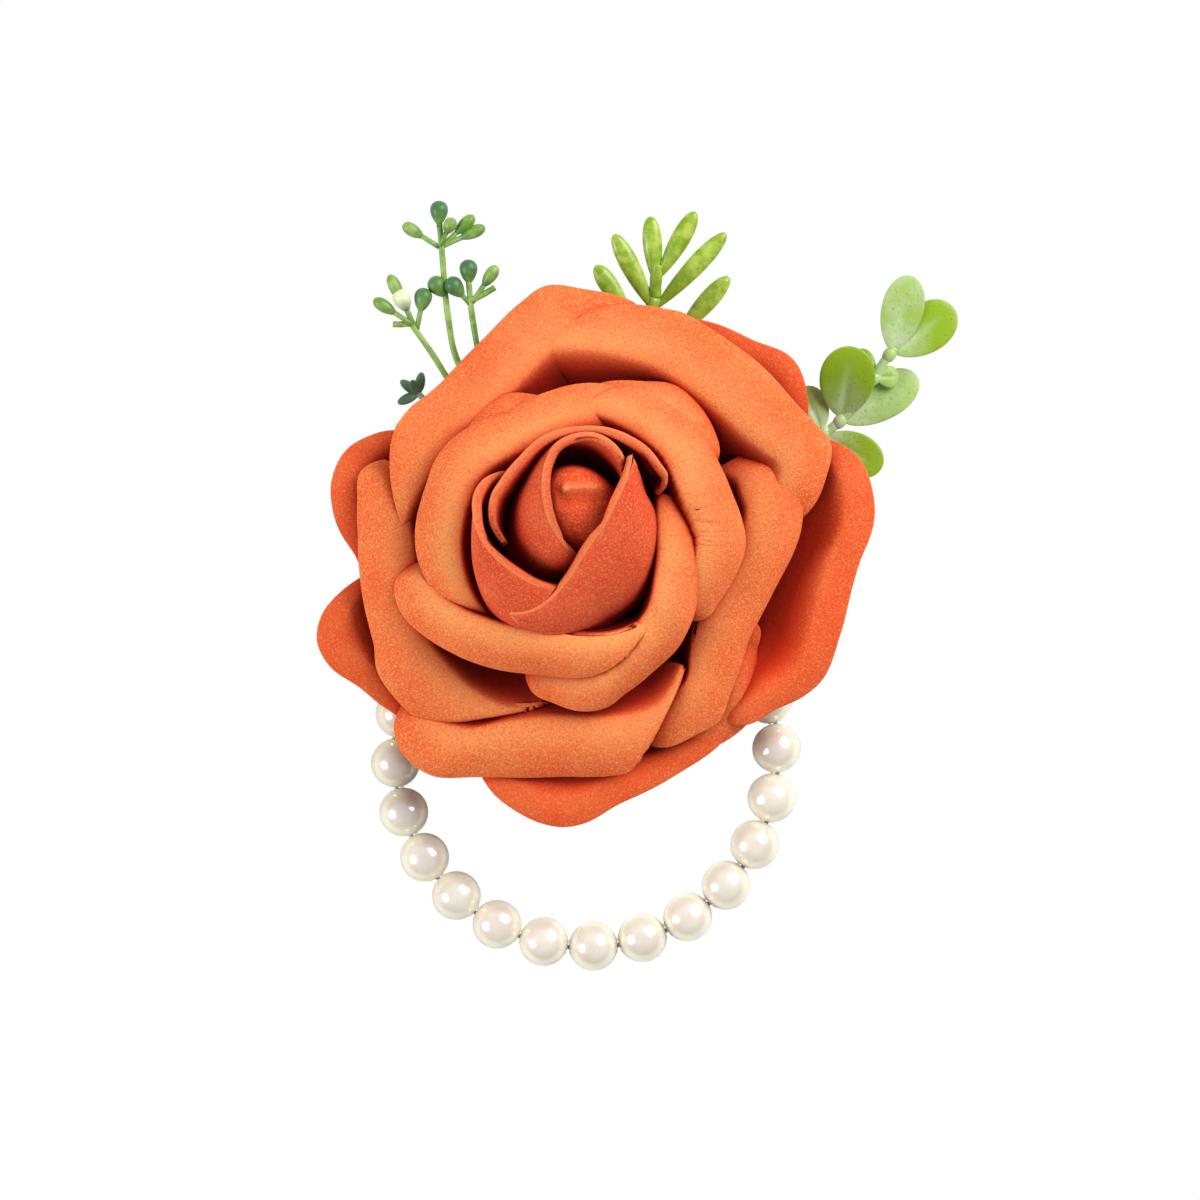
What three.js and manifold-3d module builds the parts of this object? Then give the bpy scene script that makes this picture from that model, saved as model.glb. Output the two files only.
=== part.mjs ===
// Wrist corsage: a foam rose with three green sprigs on a stretch bracelet of pearls.
// It lies flat: the rose faces +Z, the bracelet reaches towards -Y, all lengths in millimetres.
// The origin is the middle of the felt back that rests on the wrist.
import * as THREE from 'three';
import { mergeVertices } from 'three/addons/utils/BufferGeometryUtils.js';
import Module from 'manifold-3d';

const wasm = await Module();
wasm.setup();

// Clearances
const restingGap = 0.3;
const cordClearance = 0.2;
const cutOverrun = 2;
const weldTolerance = 0.0003;
const sliverTolerance = 0.06;

// Bracelet
const pearlDiameter = 7.8;
const pearlBoreDiameter = 1.6;
const braceletRadius = 30.5;
const pearlCount = 24;
const hiddenPearlCount = 3;
const braceletTurnDegrees = 2.2;
const elasticDiameter = 0.7;
const chordBelowRing = 28.5;

// Felt, glue and calyx
const backRadius = 9.8;
const backThickness = 1.5;
const gluePadRadius = 9.4;
const baseFeltRadius = 19;
const baseFeltThickness = 1.2;
const stemStubDiameter = 3;
const calyxFootRadius = 6;
const calyxRimRadius = 9.6;
const calyxHeight = 3.2;
const sepals = 5;
const sepalLength = 9;
const sepalThickness = 0.9;

// Rose
const foamThickness = 1.2;
const roseFootX = 1.2;
const roseFootY = 3;
const coreRadius = 4.4;
const budHalfWidth = 7;
const budHalfLength = 6.7;
const budRise = 5.5;
const budTop = 40.8;
const budTipX = -1.4;
const budTipY = 2.6;
const budNubRadius = 1;
const petalTuck = 1.1;

// Sprigs. Their lengths reach outwards from the calyx, their leaf sizes are as seen from the front.
const sprigReach = 60;

// Leaf, bud and stem sizes follow the reach, so that they keep the same room between them
const leafShares = {
  berryDiameter: 0.048, budWidth: 0.035, tuftLength: 0.06, tuftWidth: 0.027, fingerWidth: 0.052,
  fingerThickness: 0.032, jadeWidth: 0.118, jadeThickness: 0.023, jadeCollar: 0.053,
};
const stemShares = { berry: 0.0184, stalk: 0.015, tuft: 0.0167, finger: 0.0333, jade: 0.025 };
const berryStemDiameter = sprigReach * stemShares.berry;
const berryStalkDiameter = sprigReach * stemShares.stalk;
const tuftStemDiameter = sprigReach * stemShares.tuft;
const fingerStemDiameter = sprigReach * stemShares.finger;
const jadeStemDiameter = sprigReach * stemShares.jade;
const berryDiameter = sprigReach * leafShares.berryDiameter;
const budWidth = sprigReach * leafShares.budWidth;
const tuftLeafLength = sprigReach * leafShares.tuftLength;
const tuftLeafWidth = sprigReach * leafShares.tuftWidth;
const fingerWidth = sprigReach * leafShares.fingerWidth;
const fingerThickness = sprigReach * leafShares.fingerThickness;
const jadeLeafWidth = sprigReach * leafShares.jadeWidth;
const jadeLeafThickness = sprigReach * leafShares.jadeThickness;
const jadeCollarDiameter = sprigReach * leafShares.jadeCollar;

// Heights of the stack, from the surface that the felt back rests on
const cordHeight = pearlDiameter / 2 + restingGap / 3;
const glueBottom = backThickness + restingGap;
const baseFeltBottom = cordHeight + pearlDiameter / 2 + restingGap;
const glueTop = baseFeltBottom - restingGap;
const baseFeltTop = baseFeltBottom + baseFeltThickness;
const calyxBottom = baseFeltTop + restingGap;
const coreBottom = calyxBottom + calyxHeight + restingGap;
const stubBottom = cordHeight + elasticDiameter / 2 + 2 * restingGap;

const colours = {
  petal: 0xf0713f,
  petalDeep: 0xd24e2c,
  pearl: 0xeae2d0,
  elastic: 0xf4f1ea,
  felt: 0xe8e2d6,
  glue: 0xe6ddc6,
  calyx: 0x5f8a3c,
  berry: 0x6f9a4a,
  tuft: 0x3f6b45,
  finger: 0x9cbb45,
  jade: 0x9fc46c,
};

const material = (color, roughness) => new THREE.MeshStandardMaterial({ color, roughness, metalness: 0 });

const corsage = new THREE.Group();

function addPiece(name, geometry, color, roughness) {
  const mesh = new THREE.Mesh(geometry, material(color, roughness));
  mesh.name = name;
  corsage.add(mesh);
  return mesh;
}

// Solids for cutting and joining

function solidOf(geometry) {
  const bare = geometry.clone();
  bare.deleteAttribute('normal');
  bare.deleteAttribute('uv');
  const merged = mergeVertices(bare, weldTolerance);
  return new wasm.Manifold(new wasm.Mesh({
    numProp: 3,
    vertProperties: new Float32Array(merged.attributes.position.array),
    triVerts: new Uint32Array(merged.index.array),
  }));
}

function geometryOf(solid) {
  const mesh = solid.getMesh();
  const geometry = new THREE.BufferGeometry();
  geometry.setAttribute('position', new THREE.BufferAttribute(mesh.vertProperties, mesh.numProp));
  geometry.setIndex(new THREE.BufferAttribute(mesh.triVerts, 1));
  geometry.computeVertexNormals();
  return geometry;
}

// The largest body of a cut solid, without the slivers that a cut leaves along its edges
function largestBody(solid) {
  const bodies = solid.simplify(sliverTolerance).decompose();
  return bodies.reduce((best, body) => (body.volume() > best.volume() ? body : best));
}

const joined = (geometries) => geometries.map(solidOf).reduce((sum, solid) => sum.add(solid));

function disc(radius, thickness, bottom, sides) {
  const geometry = new THREE.CylinderGeometry(radius, radius, thickness, sides);
  geometry.rotateX(Math.PI / 2);
  geometry.translate(0, 0, bottom + thickness / 2);
  return geometry;
}

function tubeAlong(curve, diameter, sides, steps) {
  const section = new THREE.Shape();
  for (let side = 0; side < sides; side += 1) {
    const angle = (side / sides) * 2 * Math.PI;
    const x = (diameter / 2) * Math.cos(angle);
    const y = (diameter / 2) * Math.sin(angle);
    if (side === 0) section.moveTo(x, y);
    else section.lineTo(x, y);
  }
  section.closePath();
  return new THREE.ExtrudeGeometry(section, { steps, extrudePath: curve, bevelEnabled: false });
}

// Smooth reading of a table: the row at a place from 0, its start, to 1, its end
function readTable(rows, place) {
  const spot = Math.min(Math.max(place, 0), 1) * (rows.length - 1);
  const index = Math.min(Math.floor(spot), rows.length - 2);
  const t = spot - index;
  const before = rows[Math.max(index - 1, 0)];
  const start = rows[index];
  const end = rows[index + 1];
  const after = rows[Math.min(index + 2, rows.length - 1)];
  return start.map((value, column) => {
    const inSlope = (end[column] - before[column]) / 2;
    const outSlope = (after[column] - value) / 2;
    const rise = end[column] - value;
    return value + inSlope * t + (3 * rise - 2 * inSlope - outSlope) * t * t
      + (inSlope + outSlope - 2 * rise) * t * t * t;
  });
}

const smooth = (share) => share * share * (3 - 2 * share);

// Rose petals. Each whorl has a base ring on the core and a rim ring further out and higher up.
// rimX and rimY say where the rim ring's middle lies, because the rose nods towards +Y. The two reach
// shares say how far out the curve's handles lie: the larger they are, the deeper the cup.
const whorls = {
  inner: {
    rimRadius: 12, rimHeight: 42, rimX: -1.8, rimY: 11.8, baseRadius: 6.6, baseHeight: 19,
    rollRadius: 1.6, rollDegrees: 30, lowReachShare: 0.8, highReachShare: 0.94,
  },
  middle: {
    rimRadius: 24, rimHeight: 35, rimX: -1, rimY: 9.4, baseRadius: 8.4, baseHeight: 17.2,
    rollRadius: 7, rollDegrees: 76, lowReachShare: 0.5, highReachShare: 0.85,
  },
  outer: {
    rimRadius: 36, rimHeight: 26, rimX: 0.2, rimY: 6.2, baseRadius: 10, baseHeight: 15.5,
    rollRadius: 11, rollDegrees: 56, lowReachShare: 0.6, highReachShare: 0.88,
  },
  back: {
    rimRadius: 43, rimHeight: 16.5, rimX: 1.1, rimY: 3.4, baseRadius: 11, baseHeight: 13.8,
    rollRadius: 8, rollDegrees: 35, lowReachShare: 0.8, highReachShare: 0.94,
  },
};

// Rims run anticlockwise: degrees round the whorl, then shares of its rim radius and rim height.
// bellyShare bulges a petal outwards below its crest, as a share of the rim radius, most at its peak share
// of the rim. slantDegrees cuts the petal's last side back, so that its rim ends before its crest does.
const petals = {
  inner_petal_1: { whorl: 'inner', bellyShare: 0.85, bellyPeakShare: 0.7, rimShares: [
    [33, 0.82, 0.95], [43, 0.88, 0.985], [58, 0.93, 1.0], [74, 0.94, 1.01], [89, 0.89, 1.01],
    [107, 0.8, 1.005], [122, 0.665, 1.0], [147, 0.49, 1.0], [177, 0.4, 1.0], [200, 0.395, 0.99],
    [216, 0.415, 0.98], [236, 0.475, 0.96], [252, 0.56, 0.94], [264, 0.66, 0.92], [271, 0.75, 0.9]] },
  inner_petal_2: { whorl: 'inner', bellyShare: 0.95, bellyPeakShare: 0.5, rimShares: [
    [240, 1.72, 0.87], [248, 1.57, 0.9], [256, 1.35, 0.93], [264, 1.07, 0.96], [278, 0.74, 1.0],
    [294, 0.58, 1.02], [311, 0.52, 1.03], [334, 0.5, 1.04], [357, 0.53, 1.045], [374, 0.64, 1.04],
    [386, 0.78, 1.03], [399, 0.99, 1.0]] },
  inner_petal_3: { whorl: 'inner', bellyShare: 0.85, bellyPeakShare: 0.75, rimShares: [
    [158, 1.02, 0.87], [162, 1.12, 0.9], [168, 1.24, 0.93], [177, 1.32, 0.955], [190, 1.33, 0.965],
    [203, 1.31, 0.965], [217, 1.26, 0.965], [232, 1.22, 0.96], [247, 1.21, 0.95], [259, 1.19, 0.93],
    [268, 1.15, 0.9]] },
  inner_petal_4: { whorl: 'inner', bellyShare: 0.12, bellyPeakShare: 0.5, rimShares: [
    [9, 1.12, 0.86], [13, 1.23, 0.9], [18, 1.27, 0.93], [25, 1.23, 0.955], [37, 1.19, 0.97],
    [51, 1.12, 0.985], [67, 1.055, 0.99], [84, 0.99, 0.985], [101, 0.965, 0.98], [116, 0.95, 0.975],
    [130, 0.93, 0.97], [143, 0.93, 0.965], [162, 1.0, 0.955], [175, 1.09, 0.945], [187, 1.14, 0.935],
    [196, 1.15, 0.92], [209, 1.11, 0.88]] },
  middle_petal_1: { whorl: 'middle', slantDegrees: 25, rimShares: [
    [60, 0.8, 0.88], [68, 0.86, 0.95], [76, 0.88, 0.99], [84, 0.875, 1.02], [95, 0.855, 1.04],
    [106, 0.838, 1.05], [122, 0.838, 1.05], [135, 0.888, 1.04], [147, 0.954, 1.02], [159, 1.0, 1.0],
    [169, 1.017, 0.99], [180, 1.042, 0.98], [191, 1.067, 0.96], [204, 1.09, 0.94], [217, 1.1, 0.92],
    [230, 1.09, 0.9]] },
  middle_petal_2: { whorl: 'middle', rimShares: [
    [20, 0.95, 0.82], [26, 1.02, 0.87], [33, 1.05, 0.9], [41, 1.07, 0.93], [50, 1.08, 0.94],
    [57, 1.05, 0.95], [66, 0.97, 0.95], [76, 0.91, 0.93], [86, 0.86, 0.9]] },
  middle_petal_3: { whorl: 'middle', slantDegrees: 22, rimShares: [
    [316, 1.0, 0.83], [322, 1.06, 0.88], [330, 1.06, 0.92], [343, 1.079, 0.96], [351, 1.079, 0.98],
    [360, 1.033, 1.0], [371, 0.985, 1.02], [386, 0.9625, 1.03], [400, 0.9625, 1.03],
    [413, 0.946, 1.03], [424, 0.935, 1.02], [434, 0.93, 1.01], [443, 0.92, 1.0], [452, 0.9, 0.99]] },
  middle_petal_4: { whorl: 'middle', slantDegrees: 12, rimShares: [
    [250, 1.1, 0.72], [255, 1.2, 0.76], [262, 1.23, 0.8], [270, 1.2625, 0.84], [278, 1.25, 0.87],
    [285, 1.183, 0.9], [295, 1.1125, 0.94], [307, 1.054, 0.97], [315, 0.996, 1.0], [324, 0.929, 1.01],
    [336, 0.86, 1.02], [347, 0.81, 1.02], [357, 0.78, 1.01], [364, 0.76, 1.0], [371, 0.75, 0.985],
    [377, 0.74, 0.97]] },
  middle_petal_5: { whorl: 'middle', slantDegrees: 26, rimShares: [
    [197, 1.15, 0.76], [200, 1.28, 0.82], [208, 1.32, 0.87], [218, 1.267, 0.92], [228, 1.196, 0.95],
    [241, 1.1125, 0.97], [255, 1.046, 0.98], [268, 1.04, 0.98], [281, 1.04, 0.98], [294, 1.03, 0.97],
    [306, 1.01, 0.96]] },
  middle_petal_6: { whorl: 'middle', rimShares: [
    [104, 0.8, 0.86], [112, 0.86, 0.9], [121, 0.92, 0.92], [129, 0.935, 0.92], [138, 0.93, 0.92],
    [148, 0.935, 0.89], [156, 0.95, 0.85]] },
  outer_petal_1: { whorl: 'outer', slantDegrees: 26, rimShares: [
    [73, 0.96, 0.8], [78, 1.045, 0.87], [84, 1.07, 0.92], [91, 1.085, 0.95], [99, 1.11, 0.98],
    [106, 1.06, 1.0], [118, 0.98, 1.04], [131, 0.935, 1.06], [141, 0.945, 1.04], [150, 0.96, 1.0],
    [160, 0.97, 0.98], [168, 0.975, 0.96], [176, 0.975, 0.93]] },
  outer_petal_2: { whorl: 'outer', slantDegrees: 20, rimShares: [
    [3, 0.92, 0.84], [8, 1.0, 0.9], [14, 1.08, 0.94], [21, 1.15, 0.97], [27, 1.12, 1.0],
    [34, 1.085, 1.03], [46, 1.068, 1.07], [58, 1.065, 1.08], [68, 1.072, 1.06], [77, 1.06, 1.04],
    [87, 1.05, 1.02], [96, 1.04, 1.0], [104, 1.03, 0.97]] },
  outer_petal_3: { whorl: 'outer', rimShares: [
    [284, 0.94, 0.72], [290, 0.985, 0.78], [299, 0.989, 0.83], [306, 0.99, 0.87], [313, 0.917, 0.92],
    [320, 0.867, 0.97], [328, 0.833, 1.01], [338, 0.833, 1.03], [348, 0.86, 1.04], [362, 0.933, 1.03],
    [370, 0.954, 1.01], [376, 0.935, 0.99], [381, 0.917, 0.97], [385, 0.86, 0.95], [388, 0.8, 0.93]] },
  outer_petal_4: { whorl: 'outer', rimShares: [
    [292, 1.02, 0.62], [299, 1.06, 0.66], [305, 1.08, 0.7], [312, 1.07, 0.74], [318, 1.0, 0.77],
    [325, 0.9, 0.79], [330, 0.87, 0.79], [334, 0.85, 0.77]] },
  outer_petal_5: { whorl: 'outer', slantDegrees: 26, rimShares: [
    [222, 1.12, 0.66], [225, 1.2, 0.72], [230, 1.25, 0.76], [237, 1.25, 0.8], [245, 1.158, 0.84],
    [254, 1.09, 0.87], [264, 1.05, 0.89], [275, 1.047, 0.9], [285, 1.045, 0.9], [294, 1.02, 0.9],
    [301, 0.94, 0.89], [307, 0.86, 0.88]] },
  outer_petal_6: { whorl: 'outer', slantDegrees: 30, rimShares: [
    [159, 0.99, 0.78], [164, 1.04, 0.84], [171, 1.022, 0.9], [181, 1.006, 0.95], [195, 1.011, 0.97],
    [206, 1.044, 0.95], [213, 1.09, 0.93], [223, 1.09, 0.9], [233, 1.08, 0.88], [243, 1.05, 0.86],
    [251, 0.98, 0.84], [257, 0.89, 0.84]] },
  back_petal_1: { whorl: 'back', rimShares: [
    [144, 0.72, 0.96], [148, 0.87, 0.98], [153, 0.955, 1.0], [158, 0.998, 1.03], [164, 1.003, 1.05],
    [169, 0.98, 1.04], [174, 0.94, 1.0], [179, 0.885, 0.97], [184, 0.84, 0.93], [189, 0.72, 0.9]] },
  back_petal_2: { whorl: 'back', rimShares: [
    [182, 0.72, 0.96], [186, 0.87, 1.0], [190, 0.974, 1.03], [194, 1.04, 1.07], [198, 1.067, 1.08],
    [203, 1.05, 1.07], [209, 0.99, 1.04], [216, 0.95, 1.0], [222, 0.9, 0.96], [228, 0.72, 0.92]] },
  back_petal_3: { whorl: 'back', rimShares: [
    [236, 0.66, 0.94], [240, 0.85, 0.97], [246, 0.937, 1.0], [254, 0.986, 1.02], [262, 1.01, 1.04],
    [268, 0.99, 1.05], [275, 0.925, 1.03], [283, 0.89, 1.0], [293, 0.86, 0.97], [304, 0.837, 0.94],
    [313, 0.8, 0.92], [320, 0.68, 0.9]] },
  back_petal_4: { whorl: 'back', rimShares: [
    [306, 0.72, 1.0], [312, 0.84, 1.05], [320, 0.88, 1.1], [327, 0.94, 1.15], [333, 0.966, 1.2],
    [342, 0.956, 1.25], [351, 0.957, 1.27], [359, 0.982, 1.27], [366, 1.036, 1.25], [372, 1.055, 1.22],
    [379, 1.05, 1.18], [384, 1.0, 1.12], [388, 0.92, 1.06], [392, 0.76, 1.0]] },
  back_petal_5: { whorl: 'back', rimShares: [
    [24, 0.72, 0.93], [29, 0.87, 0.97], [34, 0.955, 1.0], [41, 1.02, 1.04], [46, 1.03, 1.06],
    [53, 0.995, 1.07], [61, 0.975, 1.05], [69, 0.94, 1.02], [77, 0.87, 0.98], [85, 0.7, 0.95]] },
  back_petal_6: { whorl: 'back', rimShares: [
    [86, 0.6, 0.94], [92, 0.77, 0.97], [100, 0.84, 1.0], [110, 0.84, 1.02], [120, 0.84, 1.02],
    [130, 0.83, 1.0], [138, 0.76, 0.97], [144, 0.6, 0.94]] },
};

// The rose's nodding axis runs from the calyx to the middle of the inner rims
function axisAt(height) {
  const up = (height - coreBottom) / (whorls.inner.rimHeight - coreBottom);
  return new THREE.Vector2(
    roseFootX + (whorls.inner.rimX - roseFootX) * up,
    roseFootY + (whorls.inner.rimY - roseFootY) * up,
  );
}

// How narrow a petal is at its base, as a share of its spread in degrees at the rim
const baseSpreadShare = 0.62;
const petalSteps = 8;
const cupSteps = 4;
const degreesPerRollStep = 30;

// The rim rolls less towards the petal's two sides
const sideRollShare = 0.55;
const rollFade = (across) => sideRollShare + (1 - sideRollShare) * Math.sin(Math.PI * across);

// The rim's two corners are rounded off: how far down the petal, and over how much of its width
const cornerShares = { drop: 0.12, width: 0.12 };
function cornerTrim(across) {
  const inside = Math.min(Math.min(across, 1 - across) / cornerShares.width, 1);
  return 1 - cornerShares.drop * (1 - inside) ** 2;
}

// How much of the belly lifts the low handle of the curve from base to crest, and drops the high one
const handleShares = { lowLift: 0.35, highDrop: 0.35 };

// How much of the belly a place across the rim gets, and how much of the slant
const bellyFade = (petal, across) => (
  Math.max(Math.sin(Math.PI * across ** (Math.log(0.5) / Math.log(petal.bellyPeakShare))), 0)
);
const slantWidthShare = 0.35;
const slantRise = (across) => Math.max(1 - (1 - across) / slantWidthShare, 0);

// A point on the middle of the foam: across runs 0 to 1 along the rim, alongWhole runs 0 at the base to
// 1 at the crest and on to 2 at the end of the roll.
function petalPoint(petal, across, alongWhole) {
  const whorl = whorls[petal.whorl];
  const along = alongWhole * cornerTrim(across);
  const [degrees, radiusShare, heightShare] = readTable(petal.rimShares, across);
  const ends = [petal.rimShares[0][0], petal.rimShares[petal.rimShares.length - 1][0]];
  const middleDegrees = (ends[0] + ends[1]) / 2;
  const roll = whorl.rollRadius;
  const fullTurn = THREE.MathUtils.degToRad(whorl.rollDegrees * rollFade(across));
  const rollReach = roll * Math.sin(Math.min(fullTurn, Math.PI / 2));
  const crestRadius = whorl.rimRadius * radiusShare - rollReach;
  const crestHeight = whorl.rimHeight * heightShare;
  const baseRadius = whorl.baseRadius + petalTuck * (1 - 2 * across);
  const foot = axisAt(whorl.baseHeight);
  const up = Math.min(along, 1);
  const reach = crestRadius - baseRadius;
  const belly = petal.bellyShare ? petal.bellyShare * whorl.rimRadius * bellyFade(petal, across) : 0;
  const slant = (petal.slantDegrees ?? 0) * slantRise(across) * Math.max(along - 1, 0);
  const radii = [
    baseRadius,
    baseRadius + whorl.lowReachShare * reach + belly,
    baseRadius + whorl.highReachShare * reach + belly,
    crestRadius,
  ];
  const heights = [
    whorl.baseHeight,
    whorl.baseHeight + handleShares.lowLift * belly,
    crestHeight - handleShares.highDrop * belly,
    crestHeight,
  ];
  const bezier = (p) => (1 - up) ** 3 * p[0] + 3 * up * (1 - up) ** 2 * p[1]
    + 3 * up * up * (1 - up) * p[2] + up ** 3 * p[3];
  const turn = Math.max(along - 1, 0) * fullTurn;
  const radius = bezier(radii) + roll * Math.sin(turn);
  const height = bezier(heights) - roll * (1 - Math.cos(turn));
  const spread = baseSpreadShare + (1 - baseSpreadShare) * smooth(up);
  const angle = THREE.MathUtils.degToRad(middleDegrees + (degrees - middleDegrees) * spread - slant);
  return new THREE.Vector3(
    foot.x + (whorl.rimX - foot.x) * up + radius * Math.cos(angle),
    foot.y + (whorl.rimY - foot.y) * up + radius * Math.sin(angle),
    height,
  );
}

// A closed shell of foam: the middle surface moved half a thickness each way along its normal. A margin
// moves its edges outwards too.
function petalShell(petal, thickness, margin) {
  const rollSteps = Math.ceil(whorls[petal.whorl].rollDegrees / degreesPerRollStep);
  const rows = cupSteps + rollSteps;
  const alongOf = (row) => (row <= cupSteps ? row / cupSteps : 1 + (row - cupSteps) / rollSteps);
  const middle = [];
  for (let column = 0; column <= petalSteps; column += 1) {
    const across = column / petalSteps;
    for (let row = 0; row <= rows; row += 1) middle.push(petalPoint(petal, across, alongOf(row)));
  }
  const at = (column, row) => middle[column * (rows + 1) + row];
  const pushOut = (edge, inside) => edge.add(edge.clone().sub(inside).normalize().multiplyScalar(margin));
  for (let row = 0; row <= rows; row += 1) {
    pushOut(at(0, row), at(1, row));
    pushOut(at(petalSteps, row), at(petalSteps - 1, row));
  }
  for (let column = 0; column <= petalSteps; column += 1) {
    pushOut(at(column, 0), at(column, 1));
    pushOut(at(column, rows), at(column, rows - 1));
  }
  const sides = [[], []];
  for (let column = 0; column <= petalSteps; column += 1) {
    for (let row = 0; row <= rows; row += 1) {
      const acrossWay = at(Math.min(column + 1, petalSteps), row).clone()
        .sub(at(Math.max(column - 1, 0), row));
      const alongWay = at(column, Math.min(row + 1, rows)).clone().sub(at(column, Math.max(row - 1, 0)));
      const normal = acrossWay.cross(alongWay).normalize().multiplyScalar(thickness / 2);
      sides[0].push(at(column, row).clone().add(normal));
      sides[1].push(at(column, row).clone().sub(normal));
    }
  }
  const index = [];
  const count = middle.length;
  const number = (column, row, side) => side * count + column * (rows + 1) + row;
  const quad = (a, b, c, d) => index.push(a, b, c, a, c, d);
  for (let column = 0; column < petalSteps; column += 1) {
    for (let row = 0; row < rows; row += 1) {
      quad(number(column, row, 0), number(column + 1, row, 0),
        number(column + 1, row + 1, 0), number(column, row + 1, 0));
      quad(number(column, row, 1), number(column, row + 1, 1),
        number(column + 1, row + 1, 1), number(column + 1, row, 1));
    }
    quad(number(column, 0, 0), number(column, 0, 1), number(column + 1, 0, 1), number(column + 1, 0, 0));
    quad(number(column, rows, 0), number(column + 1, rows, 0),
      number(column + 1, rows, 1), number(column, rows, 1));
  }
  for (let row = 0; row < rows; row += 1) {
    quad(number(0, row, 0), number(0, row + 1, 0), number(0, row + 1, 1), number(0, row, 1));
    quad(number(petalSteps, row, 0), number(petalSteps, row, 1),
      number(petalSteps, row + 1, 1), number(petalSteps, row + 1, 0));
  }
  const geometry = new THREE.BufferGeometry();
  const positions = [...sides[0], ...sides[1]].flatMap((point) => [point.x, point.y, point.z]);
  geometry.setAttribute('position', new THREE.Float32BufferAttribute(positions, 3));
  geometry.setIndex(index);
  return geometry;
}

// Petals press on their neighbours: where two would share a place, the outer one is pared back
const petalEntries = Object.entries(petals);
const placedPetals = [];
for (const [name, petal] of petalEntries) {
  const whole = solidOf(petalShell(petal, foamThickness, 0));
  let solid = whole;
  for (const taken of placedPetals) {
    if (solid.intersect(taken).volume() > 0) solid = largestBody(solid.subtract(taken));
  }
  placedPetals.push(whole.add(solidOf(petalShell(petal, foamThickness + 2 * restingGap, restingGap))));
  addPiece(name, geometryOf(solid), petal.whorl === 'inner' ? colours.petalDeep : colours.petal, 0.85);
}

// Core: the foam cone under the petals and the rolled bud on top of it. The bud is longer than wide and
// its tip leans away from the axis. Its dome is written as shares: outwards, and down from its top.
const domeShares = [[1, 1], [0.94, 0.6], [0.75, 0.28], [0.42, 0.07]];

function coreRings() {
  const rings = [
    { height: coreBottom, halfWidth: coreRadius, halfLength: coreRadius, lean: 0 },
    { height: whorls.inner.baseHeight, halfWidth: coreRadius, halfLength: coreRadius, lean: 0 },
  ];
  for (const [outShare, downShare] of domeShares) {
    rings.push({
      height: budTop - budRise * downShare,
      halfWidth: budHalfWidth * outShare,
      halfLength: budHalfLength * outShare,
      lean: 1 - downShare,
    });
  }
  return rings;
}

function ringedSolid(rings, top, sides) {
  const points = [];
  const index = [];
  for (const ring of rings) {
    const axis = axisAt(ring.height);
    for (let side = 0; side < sides; side += 1) {
      const angle = (side / sides) * 2 * Math.PI;
      points.push(
        axis.x + budTipX * ring.lean + ring.halfWidth * Math.cos(angle),
        axis.y + budTipY * ring.lean + ring.halfLength * Math.sin(angle),
        ring.height,
      );
    }
  }
  const foot = axisAt(rings[0].height);
  points.push(foot.x, foot.y, rings[0].height, top.x, top.y, top.z);
  const footIndex = rings.length * sides;
  const last = (rings.length - 1) * sides;
  for (let side = 0; side < sides; side += 1) {
    const next = (side + 1) % sides;
    for (let ring = 0; ring < rings.length - 1; ring += 1) {
      const low = ring * sides;
      const high = low + sides;
      index.push(low + side, low + next, high + next, low + side, high + next, high + side);
    }
    index.push(footIndex, next, side);
    index.push(footIndex + 1, last + side, last + next);
  }
  const geometry = new THREE.BufferGeometry();
  geometry.setAttribute('position', new THREE.Float32BufferAttribute(points, 3));
  geometry.setIndex(index);
  return geometry;
}

const tipAxis = axisAt(budTop);
const budTip = new THREE.Vector3(tipAxis.x + budTipX, tipAxis.y + budTipY, budTop);
const nub = new THREE.SphereGeometry(budNubRadius, 8, 6);
nub.translate(budTip.x, budTip.y, budTip.z);
let budCore = joined([ringedSolid(coreRings(), budTip, 20), nub]);
for (const taken of placedPetals) {
  if (budCore.intersect(taken).volume() > 0) budCore = largestBody(budCore.subtract(taken));
}
addPiece('bud_core', geometryOf(budCore), colours.petalDeep, 0.85);

function turned(profile, sides) {
  const geometry = new THREE.LatheGeometry(profile, sides);
  geometry.rotateX(Math.PI / 2);
  return geometry;
}

// Base: felt back, glue pad, base felt, calyx and its cut stem
const stubHole = () => {
  const hole = disc(stemStubDiameter / 2 + cordClearance, baseFeltTop - stubBottom + 2 * cutOverrun,
    stubBottom - restingGap, 12);
  hole.translate(roseFootX, roseFootY, 0);
  return hole;
};
addPiece('felt_back', disc(backRadius, backThickness, 0, 32), colours.felt, 0.95);

const cordHole = new THREE.CylinderGeometry(elasticDiameter / 2 + cordClearance,
  elasticDiameter / 2 + cordClearance, 2 * (gluePadRadius + cutOverrun), 8);
cordHole.rotateZ(Math.PI / 2);
cordHole.translate(0, 0, cordHeight);
const gluePad = solidOf(disc(gluePadRadius, glueTop - glueBottom, glueBottom, 32))
  .subtract(solidOf(cordHole)).subtract(solidOf(stubHole()));
addPiece('glue_pad', geometryOf(gluePad), colours.glue, 0.4);

const baseFelt = disc(baseFeltRadius, baseFeltThickness, baseFeltBottom, 40);
baseFelt.translate(roseFootX, roseFootY, 0);
addPiece('base_felt', geometryOf(solidOf(baseFelt).subtract(solidOf(stubHole()))), colours.felt, 0.95);

const calyxProfile = [
  [0, stubBottom],
  [stemStubDiameter / 2, stubBottom],
  [stemStubDiameter / 2, calyxBottom],
  [calyxFootRadius, calyxBottom],
  [calyxRimRadius, calyxBottom + calyxHeight - sepalThickness],
  [calyxRimRadius, calyxBottom + calyxHeight],
  [0, calyxBottom + calyxHeight],
].map(([radius, height]) => new THREE.Vector2(radius, height));

// A sepal starts inside the calyx rim and is widest on its way to the tip
const sepalShares = { root: 0.8, halfWidth: 0.45, widest: 0.5 };

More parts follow.
